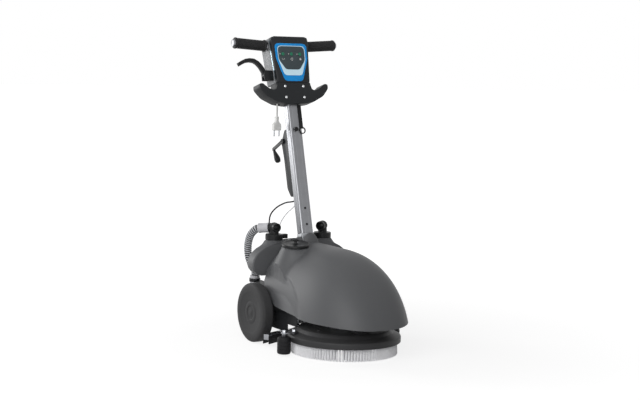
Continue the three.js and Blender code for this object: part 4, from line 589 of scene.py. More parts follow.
def bevelled(obj: Piece, width: float, segments: int = 2, angle_deg: float = 35) -> Piece:
    """Round the edges of a piece.

    Args:
        obj: The piece.
        width: Bevel width in the mesh's own units.
        segments: Faces across the bevel.
        angle_deg: Edges flatter than this stay as they are.

    Returns:
        The same piece.
    """
    bevel = obj.modifiers.new("edges", "BEVEL")
    bevel.width = width
    bevel.segments = segments
    bevel.limit_method = "ANGLE"
    bevel.angle_limit = math.radians(angle_deg)
    apply_modifiers(obj)
    return smooth(obj)


def settle(obj: Piece, name: str, place: Matrix, finish: Finish, body: str = "", node: str = "") -> Piece:
    """Put a finished piece's place into its mesh, dress it and let it ride.

    Args:
        obj: The piece.
        name: Name of the piece.
        place: Matrix from its own lengths to the shared frame.
        finish: Its finish.
        body: The body that it moves with, or empty where it bends between two.
        node: The CAD node that it stands for, or empty.

    Returns:
        The piece.
    """
    obj.data.transform(place @ obj.matrix_world)
    obj.matrix_world = Matrix.Identity(4)
    obj.name = name
    obj.data.name = name
    PAINT.dress(obj, finish)
    if body:
        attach(obj, body)
    if node:
        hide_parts(node)
    log.info("%s: %d faces, %s", name, len(obj.data.polygons), f"on {body}" if body else "bends")
    return obj


def turned(profile: Sequence[Pair], sides: int, ring: bool = False) -> Piece:
    """Turn a profile about Z by lifting and scaling a circle.

    Args:
        profile: Radius and height of each ring, in order.
        sides: Corners of each ring.
        ring: Whether the last ring joins the first one.

    Returns:
        The piece, at its own origin.
    """
    rings = [(max(r, LEAST_RADIUS), z) for r, z in profile]
    if ring:
        rings.append(rings[0])
    deselect_all()
    bpy.ops.mesh.primitive_circle_add(vertices=sides, radius=1, fill_type="NOTHING")
    obj = bpy.context.object
    open_edit(obj)
    radius, height = rings[0]
    bpy.ops.transform.resize(value=(radius, radius, 1))
    bpy.ops.transform.translate(value=(0, 0, height))
    for next_radius, next_height in rings[1:]:
        bpy.ops.mesh.extrude_region_move(TRANSFORM_OT_translate={"value": (0, 0, next_height - height)})
        share = next_radius / radius
        bpy.ops.transform.resize(value=(share, share, 1), center_override=(0, 0, next_height))
        radius, height = next_radius, next_height
    close_edit(LEAST_RADIUS * 3)
    return smooth(obj)


def aimed(start: Sequence[float], direction: Sequence[float]) -> Matrix:
    """Matrix that stands a piece made along +Z somewhere else.

    Args:
        start: Where its origin goes.
        direction: Where its +Z goes.

    Returns:
        The matrix.
    """
    turn = Vector(direction).to_track_quat("Z", "Y").to_matrix().to_4x4()
    return Matrix.Translation(start) @ turn


def stood(profile: Sequence[Pair], sides: int, at: Sequence[float],
          direction: Sequence[float] | None = None, ring: bool = False) -> Piece:
    """A turned piece stood at a place.

    Args:
        profile: Radius and height of each ring, in order.
        sides: Corners of each ring.
        at: Where its origin goes.
        direction: Where its +Z goes, or None to leave it upright.
        ring: Whether the last ring joins the first one.

    Returns:
        The piece.
    """
    obj = turned(profile, sides, ring)
    obj.data.transform(Matrix.Translation(at) if direction is None else aimed(at, direction))
    return obj


def rod(radius: float, start: Sequence[float], end: Sequence[float], sides: int) -> Piece:
    """A round bar between two points.

    Args:
        radius: Its radius.
        start: One end.
        end: The other end.
        sides: Corners of its section.

    Returns:
        The bar.
    """
    span = Vector(end) - Vector(start)
    return stood([(0, 0), (radius, 0), (radius, span.length), (0, span.length)], sides, start, span)


def rounded_outline(corners: Sequence[Point], steps: int) -> list[Pair]:
    """Outline with rounded corners.

    Args:
        corners: The corners in order, each as x, y and rounding.
        steps: Points along each rounding.

    Returns:
        The points of the outline.
    """
    outline: list[Pair] = []
    for i, (x, y, radius) in enumerate(corners):
        if not radius:
            outline.append((x, y))
            continue
        here = Vector((x, y))
        before = Vector(corners[i - 1][:2]) - here
        after = Vector(corners[(i + 1) % len(corners)][:2]) - here
        reach = min(radius / math.tan(before.angle(after) / 2), before.length / 2, after.length / 2)
        start = here + before.normalized() * reach
        end = here + after.normalized() * reach
        for k in range(steps + 1):
            t = k / steps
            p = start * (1 - t) ** 2 + here * 2 * t * (1 - t) + end * t**2
            outline.append((p.x, p.y))
    return outline


def plate(outline: Sequence[Pair], low: float, high: float) -> Piece:
    """A flat plate: a filled circle whose corners go to the outline, then extruded up.

    Args:
        outline: The outline's points in X and Y.
        low: Height of its lower face.
        high: Height of its upper face.

    Returns:
        The plate, lying flat.
    """
    kept = [p for i, p in enumerate(outline) if (Vector(p) - Vector(outline[i - 1])).length > SHORTEST]
    deselect_all()
    bpy.ops.mesh.primitive_circle_add(vertices=len(kept), radius=1, fill_type="NGON")
    obj = bpy.context.object
    for vertex, (x, y) in zip(obj.data.vertices, kept):
        vertex.co = (x, y, low)
    open_edit(obj)
    bpy.ops.mesh.extrude_region_move(TRANSFORM_OT_translate={"value": (0, 0, high - low)})
    close_edit()
    return obj


def plate_facing_front(outline: Sequence[Pair], y_front: float, y_back: float) -> Piece:
    """A plate that faces the front.

    Args:
        outline: The outline's points in X and Z.
        y_front: Depth of its front face.
        y_back: Depth of its back face.

    Returns:
        The plate.
    """
    obj = plate(outline, -y_back, -y_front)
    obj.data.transform(Matrix.Rotation(math.radians(90), 4, "X"))
    return obj


def block(low: Sequence[float], high: Sequence[float]) -> Piece:
    """A block between two corners, as the start of a piece.

    Args:
        low: Lowest corner.
        high: Highest corner.

    Returns:
        The block.
    """
    deselect_all()
    middle = [(a + b) / 2 for a, b in zip(low, high)]
    bpy.ops.mesh.primitive_cube_add(size=1, location=middle)
    obj = bpy.context.object
    open_edit(obj)
    bpy.ops.transform.resize(value=[b - a for a, b in zip(low, high)], center_override=middle)
    close_edit()
    obj.data.transform(obj.matrix_world)
    obj.matrix_world = Matrix.Identity(4)
    return obj


def joined(*pieces: Piece) -> Piece:
    """Join several meshes into the first one.

    Args:
        *pieces: The meshes.

    Returns:
        The first one.
    """
    pick(*pieces)
    bpy.ops.object.join()
    return pieces[0]


def cut(obj: Piece, *tools: Piece, union: bool = False) -> Piece:
    """Cut tools out of a piece, or fuse them with it, and delete the tools.

    Args:
        obj: The piece.
        *tools: The tools.
        union: Whether they are fused.

    Returns:
        The same piece.
    """
    for tool in tools:
        step = obj.modifiers.new("cut", "BOOLEAN")
        step.operation = "UNION" if union else "DIFFERENCE"
        step.solver = "EXACT"
        step.object = tool
        apply_modifiers(obj)
        bpy.data.objects.remove(tool)
    return obj


def smooth_route(points: Sequence[Vector], steps: int) -> list[Vector]:
    """Centripetal curve through the points.

    Args:
        points: Points of the route.
        steps: Pieces between two points.

    Returns:
        The points of the smooth route.
    """

    def between(p: Vector, q: Vector, low: float, high: float, t: float) -> Vector:
        """The point between two points, at t between their own values."""
        return p * ((high - t) / (high - low)) + q * ((t - low) / (high - low))

    ends = [points[0] * 2 - points[1], *points, points[-1] * 2 - points[-2]]
    route: list[Vector] = []
    for a, b, c, d in zip(ends, ends[1:], ends[2:], ends[3:]):
        t1 = (b - a).length ** 0.5
        t2 = t1 + (c - b).length ** 0.5
        t3 = t2 + (d - c).length ** 0.5
        for k in range(steps):
            t = t1 + (t2 - t1) * k / steps
            middle = between(b, c, t1, t2, t)
            first = between(between(a, b, 0.0, t1, t), middle, 0.0, t2, t)
            last = between(middle, between(c, d, t2, t3, t), t1, t3, t)
            route.append(between(first, last, t1, t2, t))
    return [*route, points[-1].copy()]


def tube(points: Sequence[Vector], radius: float, roundness: int, steps: int) -> Piece:
    """A round tube along a smooth curve, as a mesh.

    Args:
        points: Points of the route.
        radius: Tube radius.
        roundness: Resolution of its round section.
        steps: Pieces between two points.

    Returns:
        The tube.
    """
    route = smooth_route(points, steps)
    curve = bpy.data.curves.new("tube", "CURVE")
    curve.dimensions = "3D"
    curve.bevel_depth = radius
    curve.bevel_resolution = roundness
    curve.use_fill_caps = True
    line = curve.splines.new("POLY")
    line.points.add(len(route) - 1)
    for slot, p in zip(line.points, route):
        slot.co = (*p, 1)
    obj = bpy.data.objects.new("tube", curve)
    bpy.context.scene.collection.objects.link(obj)
    pick(obj)
    bpy.ops.object.convert(target="MESH")
    obj = bpy.context.object
    open_edit(obj)
    close_edit()
    return smooth(obj, 50)


def lofted(rings: Sequence[Sequence[Point]]) -> Piece:
    """A closed skin: a grid is bent round rings of points and its open ends are filled.

    Args:
        rings: Rings with the same number of points, lowest first.

    Returns:
        The closed piece.
    """
    columns = len(rings[0])
    rows = len(rings) - 1
    deselect_all()
    bpy.ops.mesh.primitive_grid_add(x_subdivisions=columns, y_subdivisions=rows, size=1)
    obj = bpy.context.object
    for vertex in obj.data.vertices:
        column = round((vertex.co.x + 0.5) * columns) % columns
        row = round((vertex.co.y + 0.5) * rows)
        vertex.co = rings[row][column]
    open_edit(obj)
    bpy.ops.mesh.remove_doubles(threshold=LOFT_MERGE)
    bpy.ops.mesh.select_mode(type="EDGE")
    bpy.ops.mesh.select_all(action="SELECT")
    bpy.ops.mesh.fill_holes(sides=0)
    bpy.ops.mesh.select_mode(type="VERT")
    close_edit(LOFT_MERGE)
    return obj


@dataclass(frozen=True)
class Refined:
    """A CAD node whose shape is right: a copy with rounded edges stands for it.

    Attributes:
        node: The CAD node.
        name: Name of the piece.
        finish: Its finish.
        body: The body that it rides on.
        edge_mm: Rounding of its edges.
        segments: Faces across each rounding.
    """

    node: str
    name: str
    finish: Finish
    body: str
    edge_mm: float
    segments: int = 2

    def build(self, frame: dict) -> None:
        """Copy the node, merge its loose triangles and round its edges.

        Args:
            frame: The loaded frame.
        """
        obj = bpy.data.objects.new(self.name, frame["nodes"][self.node].data.copy())
        bpy.context.scene.collection.objects.link(obj)
        open_edit(obj)
        bpy.ops.mesh.remove_doubles(threshold=MERGE)
        bpy.ops.mesh.dissolve_limited(angle_limit=math.radians(FLAT_DEG))
        close_edit()
        bevelled(obj, self.edge_mm / 1000, self.segments)
        settle(obj, self.name, Matrix.Identity(4), self.finish, self.body, self.node)


# Curved skins


def dome_share(height: float, rise: float, power: float) -> float:
    """Share of the full plan at a height above the widest level.

    Args:
        height: The height.
        rise: Height of the dome.
        power: Power of its curve.

    Returns:
        The share.
    """
    return max(0.0, 1 - (height / rise) ** power) ** (1 / power)


def dome_heights(first: float, base: float, rise: float, power: float, count: int) -> list[float]:
    """Heights spread evenly round a dome's curve.

    Args:
        first: Lowest height.
        base: Level at which the dome is widest.
        rise: Height of the dome.
        power: Power of its curve.
        count: Steps up to the crown.

    Returns:
        The heights, up to the crown.
    """
    start = math.asin(((first - base) / rise) ** (power / 2))
    turns = [start + (math.pi / 2 - start) * i / count for i in range(count + 1)]
    return [base + rise * math.sin(turn) ** (2 / power) for turn in turns]


def soft_step(value: float) -> float:
    """Smooth step from 0 to 1."""
    held = min(1.0, max(0.0, value))
    return held * held * (3 - 2 * held)


def soft_max(a: float, b: float, blend: float) -> float:
    """The larger of two values, rounded over a blend length."""
    share = max(blend - abs(a - b), 0.0) / blend
    return max(a, b) + share * share * blend / 4


@dataclass(frozen=True)
class Plan:
    """Plan outline of a tank: a superellipse at one end, square at the other.

    Attributes:
        half_width: Half of the full width.
        reach: Length of the round end.
        centre_y: Where the round end starts.
        square_y: Where the square end lies.
        corner: Rounding of the square end.
        power: Power of the superellipse.
        arc_steps: Points round the round end.
        flank_steps: Points along each flank.
        corner_steps: Points round each corner.
    """

    half_width: float
    reach: float
    centre_y: float
    square_y: float
    corner: float
    power: float
    arc_steps: int = 110
    flank_steps: int = 30
    corner_steps: int = 4

    def ring(self, share: float) -> list[Pair]:
        """The outline at a share of its full size.

        Args:
            share: The share.

        Returns:
            The points of the outline.
        """
        half = self.half_width * share
        inward = -math.copysign(1, self.square_y - self.centre_y)
        depth = min(self.corner, abs(self.square_y - self.centre_y) * 0.6)
        corner = min(depth, half / 2)
        right: list[Pair] = []
        for k in range(self.corner_steps + 1):
            turn = k / self.corner_steps * math.pi / 2
            x = half - corner * (1 - math.sin(turn))
            right.append((x, self.square_y + inward * depth * (1 - math.cos(turn))))
        start = self.square_y + inward * depth
        for k in range(1, self.flank_steps):
            right.append((half, start + (self.centre_y - start) * k / self.flank_steps))
        arc: list[Pair] = []
        for k in range(self.arc_steps + 1):
            turn = k / self.arc_steps * math.pi
            c, s = math.cos(turn), math.sin(turn)
            x = math.copysign(half * abs(c) ** (2 / self.power), c)
            arc.append((x, self.centre_y + inward * self.reach * share * abs(s) ** (2 / self.power)))
        return right + arc + [(-x, y) for x, y in reversed(right)]

    def inset(self, wall: float) -> "Plan":
        """The same outline, a wall smaller and with half the points."""
        square_y = self.square_y + math.copysign(wall, self.centre_y - self.square_y)
        return Plan(self.half_width - wall, self.reach - wall, self.centre_y, square_y,
                    self.corner, self.power, self.arc_steps // 2, self.flank_steps // 2)

    def dome(self, heights: Sequence[float], base: float, rise: float, power: float) -> list[list[Point]]:
        """Rings that close over the outline like a dome.

        Args:
            heights: Height of each ring.
            base: Level of the full outline.
            rise: Height of the dome, or a negative depth.
            power: Power of its curve.

        Returns:
            The rings.
        """
        rings = []
        for z in heights:
            rings.append([(x, y, z) for x, y in self.ring(dome_share(z - base, rise, power))])
        return rings


@dataclass(frozen=True)
class Boss:
    """A flat-topped swelling that flows out of a skin.

    Attributes:
        centre: Middle of its top.
        axis: Its direction.
        radius: Radius of its flat top.
        run: Width of its flank.
        drop: Height of its flank.
        sink: How far the flat lies below the centre.
        blend: Rounding where it meets the skin.
        power: Power of its flank's curve.
    """

    centre: Point
    axis: Point
    radius: float
    run: float
    drop: float
    sink: float
    blend: float
    power: float = 1.7

    def lift(self, point: Sequence[float], wall_y: float, fade: float) -> Point:
        """Lift a point of the skin onto the swelling where the skin is lower.

        Args:
            point: The point.
            wall_y: Where a flat end wall stands, which stays as it is.
            fade: Distance from the wall over which the swelling grows.

        Returns:
            The lifted point.
        """
        here = Vector(point)
        axis = Vector(self.axis).normalized()
        offset = here - Vector(self.centre)
        height = offset.dot(axis)
        away = (offset - axis * height).length
        share = min(1.0, max(0.0, (away - self.radius) / self.run))
        if share >= 1 or height < -self.drop - self.sink:
            return tuple(here)
        flank = -self.sink - self.drop * (1 - (1 - share) ** self.power)
        grown = soft_step((abs(here.y - wall_y) - 0.5) / fade)
        return tuple(here + axis * (soft_max(height, flank, self.blend) - height) * grown)


# Tanks


@dataclass
class Tanks:
    """Front and rear tank, filler lid, screw collars and elbows.

    Attributes:
        front: Outline of the front tank.
        rear: Outline of the rear tank.
        base: Level at which the front tank is widest.
        rise: Height of its dome above that level.
        dome_power: Power of the dome's curve.
        rim_z: Level of the front tank's lower rim.
        nose_drop: How far the rim sinks at the nose.
        rear_lift: How far the rim rises at the back.
        sweep_from: Where the rim starts to rise.
        sweep_run: Length over which it rises.
        sweep_fade: Height over which the rim's sweep fades out.
        wall: Wall of the front tank.
        skirt_z: Lowest level of the open skirt.
        floor_z: Level of the tank's floor over the skirt.
        notch: Half of the width of the well for the bracket.
        notch_front: Front wall of the well.
        crease_top: Level that the styling crease rises to.
        crease_front: Where the crease starts.
        crease_spread: Length over which it rises.
        crease_power: Power of its curve.
        crease_x: Half of the width within which there is no crease.
        filler: Swelling under the filler lid.
        arch_radius: Radius of the wheel arches.
        saddle: Outline, base, rise and power of the saddle before the column.
        belly: Level at which the rear tank is widest.
        crown: Height of its dome above that level.
        keel: Depth of its underside below that level.
        crown_power: Power of its dome's curve.
        neck_top: Top of its two necks.
        grommets: Places of the cable grommets.
    """

    front: Plan = Plan(193, 313, 66.5, 289, 16, 2.6)
    rear: Plan = Plan(190, 120, 300, 291.5, 16, 2.5, 90, 3)
    base: float = 19
    rise: float = 317
    dome_power: float = 2.15
    rim_z: float = 120
    nose_drop: float = 12
    rear_lift: float = 27
    sweep_from: float = -85
    sweep_run: float = 374
    sweep_fade: float = 62
    wall: float = 4.5
    skirt_z: float = 96
    floor_z: float = 200
    notch: float = 44
    notch_front: float = 241.7
    crease_top: float = 239
    crease_front: float = -24
    crease_spread: float = 158
    crease_power: float = 1.5
    crease_x: float = 90
    filler: Boss = Boss((-85, 190, 337), (-0.07375, -0.11803, 0.99027), 45, 74, 100, 8, 16)
    arch_radius: float = 105
    saddle: tuple[Plan, float, float, float] = (Plan(42, 20, 237, 241.7, 4, 2.1, 40, 2), 262, 106, 2.1)
    belly: float = 255
    crown: float = 86
    keel: float = 52
    crown_power: float = 2.2
    neck_top: float = 345.5
    grommets: tuple[Pair, ...] = ((-88, 366), (-60, 356))

    def build(self, frame: dict) -> None:
        """Build every piece of the tanks.

        Args:
            frame: The loaded frame; not used.
        """
        self._front_tank()
        self._rear_tank()
        self._lid()
        for side, name in SIDES:
            self._collar(side, name)
        self._left_elbow()
        self._right_elbow()

    def _crease_z(self, y: float) -> float:
        """Height of the styling crease at a place along the flank."""
        run = min(1.0, max(0.0, (y - self.crease_front) / self.crease_spread))
        bend = (1 - (1 - run) ** self.crease_power) ** (1 / self.crease_power)
        return self.rim_z + (self.crease_top - self.rim_z) * bend

    def _shaped(self, x: float, y: float, z: float, plan: Plan) -> Point:
        """A point of the front skin with the rim's sweep and the crease.

        Args:
            x: Place across.
            y: Place along.
            z: Level.
            plan: Outline that the point lies on.

        Returns:
            The shaped point.
        """
        nose = max(0.0, (plan.centre_y - y) / plan.reach)
        back = max(0.0, (y - self.sweep_from) / self.sweep_run)
        sweep = -self.nose_drop * nose**6 + self.rear_lift * back**1.4
        fade = 1 - soft_step((z - self.rim_z) / self.sweep_fade)
        height = z + sweep * fade
        share = dome_share(height - self.base, self.rise, self.dome_power)
        share /= max(1e-6, dome_share(z - self.base, self.rise, self.dome_power))
        if fade:
            x *= share
            y = plan.centre_y + (y - plan.centre_y) * share if y < plan.centre_y else y
        below = self._crease_z(y) - height
        if y > self.crease_front and below > 0 and abs(x) > self.crease_x:
            set_in = 2.6 * soft_step(below / 10) + min(8.5, below * 0.14)
            x -= math.copysign(set_in * soft_step((y - self.crease_front) / 60), x)
        return (x, y, height)

    def _front_rings(self, plan: Plan, levels: Sequence[float]) -> list[list[Point]]:
        """Rings of the front skin.

        Args:
            plan: The outline.
            levels: Level of each ring.

        Returns:
            The rings.
        """
        rings = []
        for level in levels:
            share = dome_share(level - self.base, self.rise, self.dome_power)
            rings.append([self._shaped(x, y, level, plan) for x, y in plan.ring(share)])
        return rings

    def _front_tank(self) -> None:
        """The domed body with its filler neck, saddle, well, arches and open skirt."""
        curve = dome_heights(146, self.base, self.rise, self.dome_power, 74)
        rings = self._front_rings(self.front, [self.rim_z, 128, 137, *curve])
        tank = lofted([[self.filler.lift(p, self.front.square_y, 28) for p in ring] for ring in rings])
        at, way = self.filler.centre, self.filler.axis
        neck = stood([(0, -34), (43, -34), (43, -1.2), (42.2, -0.3), (41, 0), (0, 0)], 96, at, way)
        bore = stood([(0, -74), (37, -74), (37, 6), (0, 6)], 72, at, way)
        levels = [self.skirt_z, 114, 132, 150, 168, 184, self.floor_z]
        recess = lofted(self._front_rings(self.front.inset(self.wall), levels))
        half = self.front.half_width - 12
        back = block((-half, 270, self.skirt_z), (half, 296, self.floor_z))
        well = block((-self.notch, self.notch_front, 190), (self.notch, 300, 380))
        y, z = LAYOUT.axle_y, LAYOUT.wheel_radius
        arches = [rod(self.arch_radius, (side * 166, y, z), (side * 204, y, z), 96) for side, _ in SIDES]
        plan, base, rise, power = self.saddle
        saddle = lofted(plan.dome(dome_heights(282, base, rise, power, 22), base, rise, power))
        cut(tank, neck, saddle, union=True)
        cut(tank, recess, back, bore, well, *arches)
        settle(smooth(tank, 28), "front_tank_skin", ON_BODY, Finish.BODY, "machine", "front_tank")

    def _rear_tank(self) -> None:
        """The recovery tank with its two necks and the well for the bracket."""
        low = [220 + (self.belly - 220) * math.sin(k / 12 * math.pi / 2) for k in range(12)]
        rings = self.rear.dome(low, self.belly, -self.keel, self.rear.power)
        high = dome_heights(self.belly, self.belly, self.crown, self.crown_power, 34)
        rings += self.rear.dome(high, self.belly, self.crown, self.crown_power)
        cap_x, cap_y, _ = LAYOUT.elbow
        for side, _ in SIDES:
            boss = Boss((side * cap_x, cap_y, 337.8), (0, 0, 1), 31, 30, 34, 0, 7)
            rings = [[boss.lift(p, self.rear.square_y, 9) for p in ring] for ring in rings]
        tank = lofted(rings)
        for side, _ in SIDES:
            x = side * cap_x
            cut(tank, rod(27, (x, cap_y, 300), (x, cap_y, self.neck_top), 72), union=True)
            cut(tank, rod(22.8, (x, cap_y, 281), (x, cap_y, self.neck_top + 4), 72))
        for x, y in self.grommets:
            profile = [(0, -8), (6, -8), (6, 3), (5.4, 5.2), (4.2, 7), (0, 7)]
            cut(tank, stood(profile, 32, (x, y, self._rear_skin(x, y))), union=True)
        cut(tank, block((-self.notch, 287, 210), (self.notch, 316, 350)))
        settle(smooth(tank, 30), "rear_tank_skin", ON_BODY, Finish.BODY, "machine", "rear_tank")

    def _rear_skin(self, x: float, y: float) -> float:
        """Height of the rear tank's skin over a point of its plan."""
        across = abs(x) / self.rear.half_width
        back = max(0.0, y - self.rear.centre_y) / self.rear.reach
        share = (across**self.rear.power + back**self.rear.power) ** (1 / self.rear.power)
        return self.belly + self.crown * (1 - share**self.crown_power) ** (1 / self.crown_power)

    def _lid(self) -> None:
        """The filler lid with its overhanging rim and bar knob."""
        disc = turned(
            [(0, -8.7), (36, -8.7), (36, 0.3), (43.8, 0.3), (43.8, -4.7), (46.2, -4.7), (47, -3.8),
             (47, 2.2), (46, 3.8), (44, 4.5), (39, 4.5), (37.4, 3.6), (12, 3.6), (9, 4.8), (0, 4.8)], 96)
        stem = turned([(0, 3), (7.5, 3), (5.4, 6), (5, 13.5), (0, 13.5)], 32)
        bar = bevelled(block((-10, -5.5, 12), (10, 5.5, 18.4)), 2.2, 4)
        lid = joined(disc, stem, bar)
        lid.data.transform(aimed(self.filler.centre, self.filler.axis))
        settle(smooth(lid, 40), "filler_lid", ON_BODY, Finish.BLACK, "lid", "tank_lid")

    def _collar(self, side: int, name: str) -> None:
        """A screw collar with one lug, and grip ribs except where the lug stands.

        Args:
            side: -1 for left, 1 for right.
            name: The side's name.
        """
        ring = turned(
            [(27.6, 338.5), (29.2, 338.5), (30, 339.4), (30, 356.2), (28.8, 357.5), (17, 357.5),
             (16.4, 356.9), (16.4, 350.8), (27.6, 350.8)], 72, ring=True)
        outline = rounded_outline([(27.5, -9, 0), (50.5, -9, 5), (50.5, 9, 5), (27.5, 9, 0)], 5)
        pieces = [ring, bevelled(plate(outline, 341.5, 356.3), 1.2, 3)]
        for k in range(24):
            turn = math.radians(k * 15 + 7.5)
            if math.cos(turn) <= 0.95:
                x, y = 29.5 * math.cos(turn), 29.5 * math.sin(turn)
                pieces.append(rod(0.9, (x, y, 341), (x, y, 354.5), 10))
        whole = joined(*pieces)
        turn = Matrix.Rotation(math.pi if side > 0 else 0, 4, "Z")
        whole.data.transform(Matrix.Translation((side * LAYOUT.elbow[0], LAYOUT.elbow[1], 0)) @ turn)
        node = f"{name}_cap"
        settle(smooth(whole, 35), f"{node}_collar", ON_BODY, Finish.BLACK, f"{name}_collar", node)

    def _elbow(self, side: int, direction: Vector, reach: float, *mouths: tuple[Vector, list[Pair]]) -> Piece:
        """An elbow: its bend, flange and knuckle, and the turned mouths on it.

        Args:
            side: -1 for left, 1 for right.
            direction: Where the bend points.
            reach: Distance of the bend's end from its middle.
            *mouths: Direction and profile of each mouth.

        Returns:
            The elbow, in the brush layout.
        """
        x, y, z = side * LAYOUT.elbow[0], LAYOUT.elbow[1], LAYOUT.elbow[2]
        foot, centre, up = Vector((x, y, self.neck_top + 0.4)), Vector((x, y, z)), Vector((0, 0, 1))
        bend = [foot + up * 2, centre - up * 15, centre + (direction - up) * 3.4,
                centre + direction * 10, centre + direction * reach]
        shell = tube(bend, 15.6, 12, 8)
        flange = stood([(0, 0), (24, 0), (24, 3.6), (23, 4.4), (0, 4.4)], 64, foot)
        knuckle = stood([(0, -17.4), (8, -15.6), (14, -10.4), (17.2, -3), (17.2, 3), (14, 10.4),
                         (8, 15.6), (0, 17.4)], 48, centre)
        ends = [stood(profile, 56, centre, way) for way, profile in mouths]
        return smooth(joined(shell, flange, knuckle, *ends), 40)

    def _left_elbow(self) -> None:
        """Elbow that leads into the hose, with an inspection plug at the front."""
        way = Vector(LAYOUT.hose_way).normalized()
        spigot = [(0, 12), (13.9, 12), (13.9, 33), (13, 34), (11.6, 34), (11.2, 24), (0, 24)]
        plug = [(0, 0), (15.5, 0), (15.5, 19.6), (14.6, 21), (12.4, 21), (11.6, 20), (11.2, 15),
                (4, 14.4), (3.6, 17), (0, 17)]
        whole = self._elbow(-1, way, 18, (way, spigot), (Vector((0, -1, 0)), plug))
        settle(whole, "left_elbow_bend", ON_BODY, Finish.BLACK, "machine", "left_elbow")

    def _right_elbow(self) -> None:
        """Elbow whose open mouth faces the column."""
        way = Vector((-0.8, -0.6, 0))
        lip = [(0, 6), (15.2, 6), (15.4, 18), (16, 19), (16, 23.2), (15.2, 24), (12.8, 24), (12, 23),
               (11.6, 12), (0, 12)]
        whole = self._elbow(1, way, 11, (way, lip))
        settle(whole, "right_elbow_bend", ON_BODY, Finish.BLACK, "machine", "right_elbow")


# Brush, chassis and wheels


@dataclass
class BrushUnit:
    """Disc brush with fine bristles, its block and the deck over it.

    Attributes:
        deck_radius: Radius of the deck.
        height: Length of the bristles.
        rows: Radius and number of tufts of each row.
        strands: Places of a tuft's strands, outwards and along its row.
        hub: The drive hub.
    """

    deck_radius: float = 187.4
    height: float = 40
    rows: tuple[tuple[float, int], ...] = ((171.6, 112), (160.6, 96), (149.6, 80), (138.6, 64))
    strands: tuple[Pair, ...] = (
        (0, 0), (0, 1.9), (0, -1.9), (1.9, 1.0), (1.9, -1.0), (-1.9, 1.0), (-1.9, -1.0))
    hub: Refined = Refined("drive_hub", "drive_hub_turned", Finish.STEEL, "brush", 0.8)

    def build(self, frame: dict) -> None:
        """Build the bristles, the block and the deck.

        Args:
            frame: The loaded frame.
        """
        self._bristles()
        backing = turned(
            [(26, 44.3), (173, 44.3), (174.5, 45.8), (174.5, 54.8), (173, 56.3), (60, 56.3), (58, 54.6),
             (26, 54.6)], 96, ring=True)
        settle(backing, "brush_backing", ON_BODY, Finish.BLACK, "brush", "brush_block")
        self.hub.build(frame)
        self._deck()

    def _bristles(self) -> None:
        """Fine strands in rows, spread like real tufts, each with its own repeatable lean."""
        deselect_all()
        bpy.ops.mesh.primitive_cone_add(
            vertices=4, radius1=1.25, radius2=1.0, depth=self.height, end_fill_type="NGON")
        strand = bpy.context.object
        strand.data.transform(Matrix.Translation((0, 0, -self.height / 2)))
        corners = [v.co.copy() for v in strand.data.vertices]
        faces = [tuple(p.vertices) for p in strand.data.polygons]
        bpy.data.objects.remove(strand)
        mesh = bmesh.new()
        for row, (radius, count) in enumerate(self.rows):
            for k, (out, along) in product(range(count), self.strands):
                turn = 2 * math.pi * (k + 0.5 * (row % 2)) / count + along / radius
                sway = math.sin(k * 12.9898 + row * 78.233 + 3.7 * out + 5.1 * along)
                flare = math.radians((2.6 if row == 0 else 1.6) + 0.5 * sway + 0.3 * out)
                lean = Matrix.Rotation(turn, 4, "Z") @ Matrix.Rotation(-flare, 4, "Y")
                twist_deg = 0.9 * math.cos(k * 7.13 + row) + 0.35 * along
                twist = Matrix.Rotation(math.radians(twist_deg), 4, "X")
                far = radius + out
                at = Matrix.Translation((far * math.cos(turn), far * math.sin(turn), self.height + 1.5))
                made = [mesh.verts.new(at @ lean @ twist @ c) for c in corners]
                for v in made:
                    v.co.z = max(v.co.z, 0.4 + 0.5 * (1 + sway))
                for face in faces:
                    mesh.faces.new([made[i] for i in face])
        data = bpy.data.meshes.new("bristles")
        mesh.to_mesh(data)
        mesh.free()
        tufts = bpy.data.objects.new("bristles", data)
        bpy.context.scene.collection.objects.link(tufts)
        profile = [(128, 40), (176.5, 40), (177.5, 41), (177.5, 43), (176.5, 44), (128, 44)]
        whole = smooth(joined(tufts, turned(profile, 96, ring=True)), 50)
        settle(whole, "brush_bristles", ON_BODY, Finish.BRISTLE, "brush", "bristle_ring")

    def _deck(self) -> None:
        """The deck: rim with a soft lip, a sloping skirt and a raised middle with its bolts."""
        r = self.deck_radius
        deck = turned(
            [(r - 3.5, 41.5), (r - 0.8, 41.5), (r, 42.4), (r, 56.5), (r - 0.6, 59.4), (r - 2.4, 62),
             (r - 6, 63.6), (r - 16, 67), (r - 26, 69.9), (r - 28.4, 71), (r - 30, 73), (r - 35.2, 81),
             (r - 37, 82.3), (r - 40, 82.8), (34, 82.8), (30, 82), (30, 79.3), (r - 39.5, 79.3),
             (r - 31.5, 67), (r - 3.5, 54.5)], 160, ring=True)
        bolts = []
        for k in range(6):
            turn = math.radians(k * 60 + 15)
            profile = [(0, 82), (6.5, 82), (6.5, 86), (5.6, 87), (2.6, 87), (2.4, 85), (0, 85)]
            bolts.append(stood(profile, 6, (120 * math.cos(turn), 120 * math.sin(turn), 0)))
        whole = smooth(joined(deck, *bolts), 30)
        settle(whole, "deck_shell", ON_BODY, Finish.DECK, "machine", "brush_deck")


